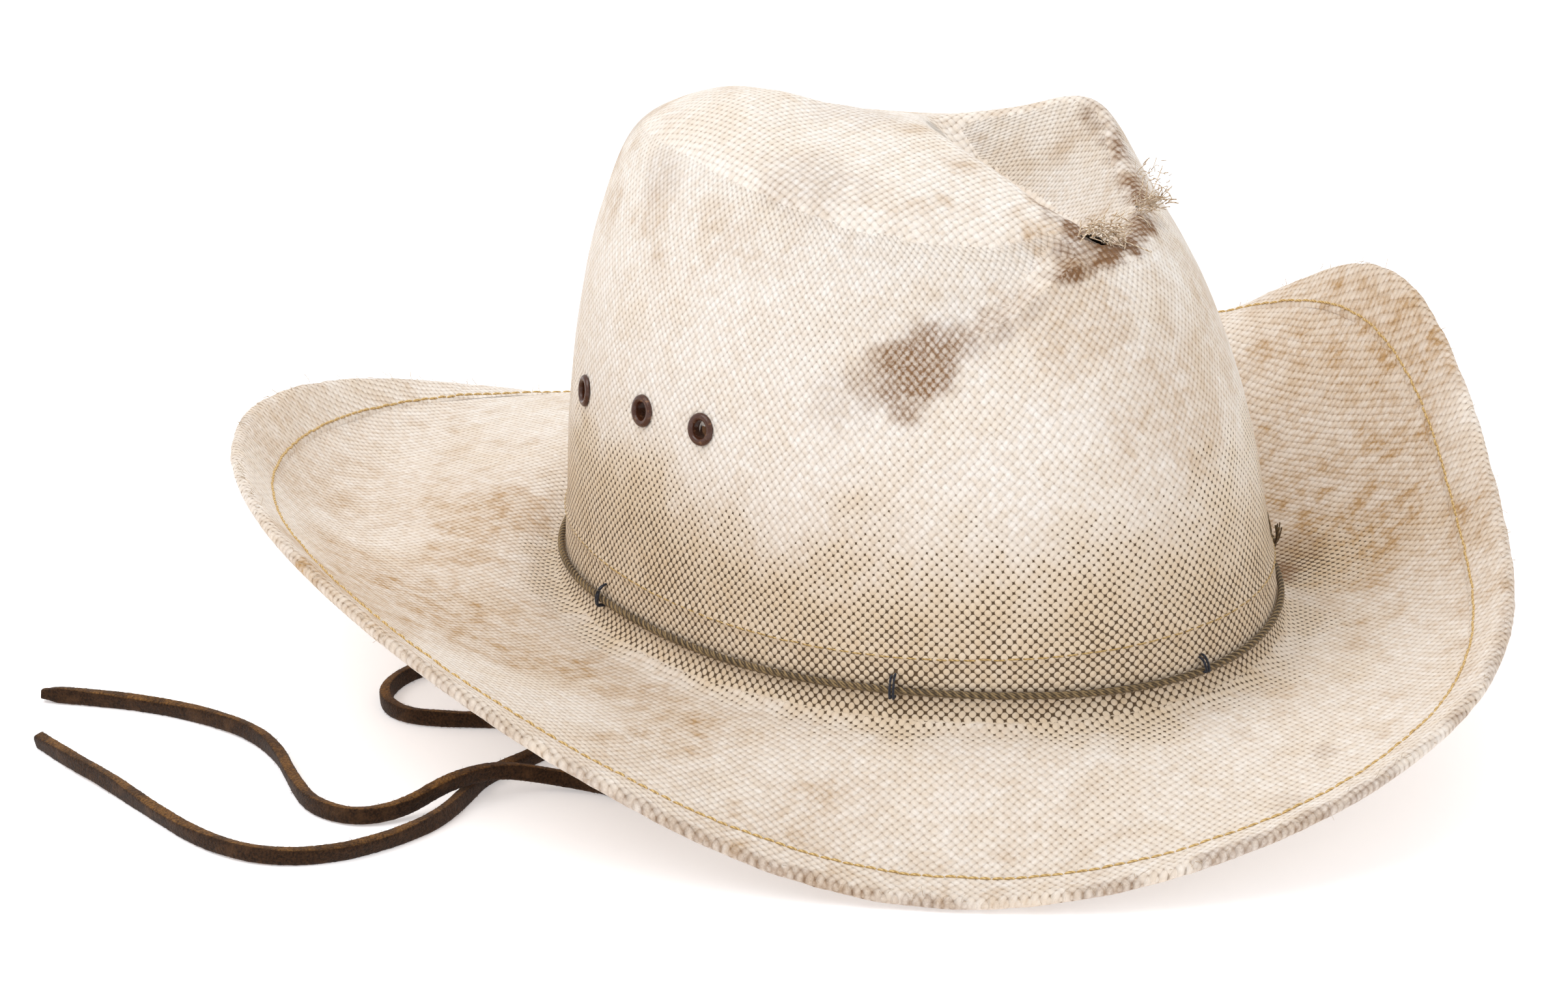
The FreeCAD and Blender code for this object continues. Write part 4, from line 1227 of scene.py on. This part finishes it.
add_strands((1, -63, 110), (3.0, 0.8, 1.4), 44, 5.0, 0.2, (0.5, -0.5, 0.3))
add_strands((-3, -61, 111), (2.2, 0.8, 1.0), 22, 5.0, 0.22, (0.9, -0.2, 0.1))
add_strands((4, -64, 107), (2.0, 0.8, 1.0), 12, 5.5, 0.18, (0.2, -0.5, -0.9))
add_strands((24, -56, 111), (2.6, 1.2, 1.2), 70, 4.6, 0.16, (0.3, -0.8, 0.6))
add_strands((34, -46, 114), (2.4, 3.0, 1.6), 34, 2.8, 0.12, (0.2, -0.8, 0.5))
add_strands((8, -62, 108), (2.4, 1.0, 1.0), 12, 2.2, 0.1, (0.0, -0.8, 0.5))
for where in loose_rng.uniform(0, 2 * math.pi, 420):
    inset = loose_rng.uniform(-0.4, 1.2)
    point = hem_points(np.array([inset]), np.array([0.5]), np.array([where]))[0]
    out = np.array([math.cos(where), math.sin(where), 0.5])
    add_strands(point, (0.2, 0.2, 0.2), 1, 2.6, 0.07, out)
loose = tube_object("loose_strands", strand_paths, np.array(strand_radii), 4)
finish_piece(loose, LOOSE, "straw_body", slot="straw")

# ------------------------------------------------------------------ camera, light and floor
# distance from the hat, and how far the view's middle is left of the head oval and above it (mm)
DISTANCE, VIEW_LEFT, VIEW_UP, LENS = 1150.0, 34.753, 23.424, 100.921
TURN, TILT = math.radians(42.0), math.radians(20.5)
back = Vector((-math.sin(TURN) * math.cos(TILT), -math.cos(TURN) * math.cos(TILT), math.sin(TILT)))
right = Vector((math.cos(TURN), -math.sin(TURN), 0))
up = back.cross(right)
spot = back * DISTANCE - right * VIEW_LEFT + up * VIEW_UP + Vector(BASE)
camera_data = bpy.data.cameras.new("camera")
camera = link("camera", camera_data)
camera.matrix_world = Matrix.Translation(spot * MM) @ Matrix((right, up, back)).transposed().to_4x4()
camera_data.sensor_width = 36
camera_data.lens = LENS
camera_data.clip_start, camera_data.clip_end = 0.01, 20
bpy.context.scene.camera = camera


def lamp(name, place, aim, size, power, color=(1, 1, 1)):
    data = bpy.data.lights.new(name, "AREA")
    data.size, data.energy, data.color = size, power, color
    thing = link(name, data)
    thing.location = place
    way = Vector(aim) - Vector(place)
    thing.rotation_euler = way.to_track_quat("-Z", "Y").to_euler()


def from_camera(x, away, z):
    """Place given by camera-right, away from the camera and height, in metres."""
    ahead = Vector((math.sin(TURN), math.cos(TURN), 0))
    return right * x + ahead * away + Vector((0, 0, z))


lamp("key", from_camera(-0.9, -0.4, 1.6), (0, 0, 0.05), 1.3, 15, (1.0, 0.985, 0.98))
lamp("fill", from_camera(1.3, -1.0, 0.9), (0, 0, 0.05), 1.4, 2.5)
lamp("back", from_camera(0.4, 1.4, 1.3), (0, 0, 0.08), 1.4, 9)

world = bpy.data.worlds.new("studio")
world.use_nodes = True
world.node_tree.nodes["Background"].inputs[0].default_value = (1, 1, 1, 1)
world.node_tree.nodes["Background"].inputs[1].default_value = 0.8
bpy.context.scene.world = world

FAR = 6000
floor = new_object("floor", [(-FAR, -FAR, 0), (FAR, -FAR, 0), (FAR, FAR, 0), (-FAR, FAR, 0)],
                   [(0, 1, 2, 3)], smooth=False)
floor.data.materials.append(Nodes("floor").finish(
    (0.86, 0.85, 0.86), 0.7, Specular_IOR_Level=0.2, Emission_Color=(1.0, 0.99, 1.0, 1.0),
    Emission_Strength=0.36))

for setting, value in (("view_transform", "Standard"), ("look", "None")):
    setattr(bpy.context.scene.view_settings, setting, value)
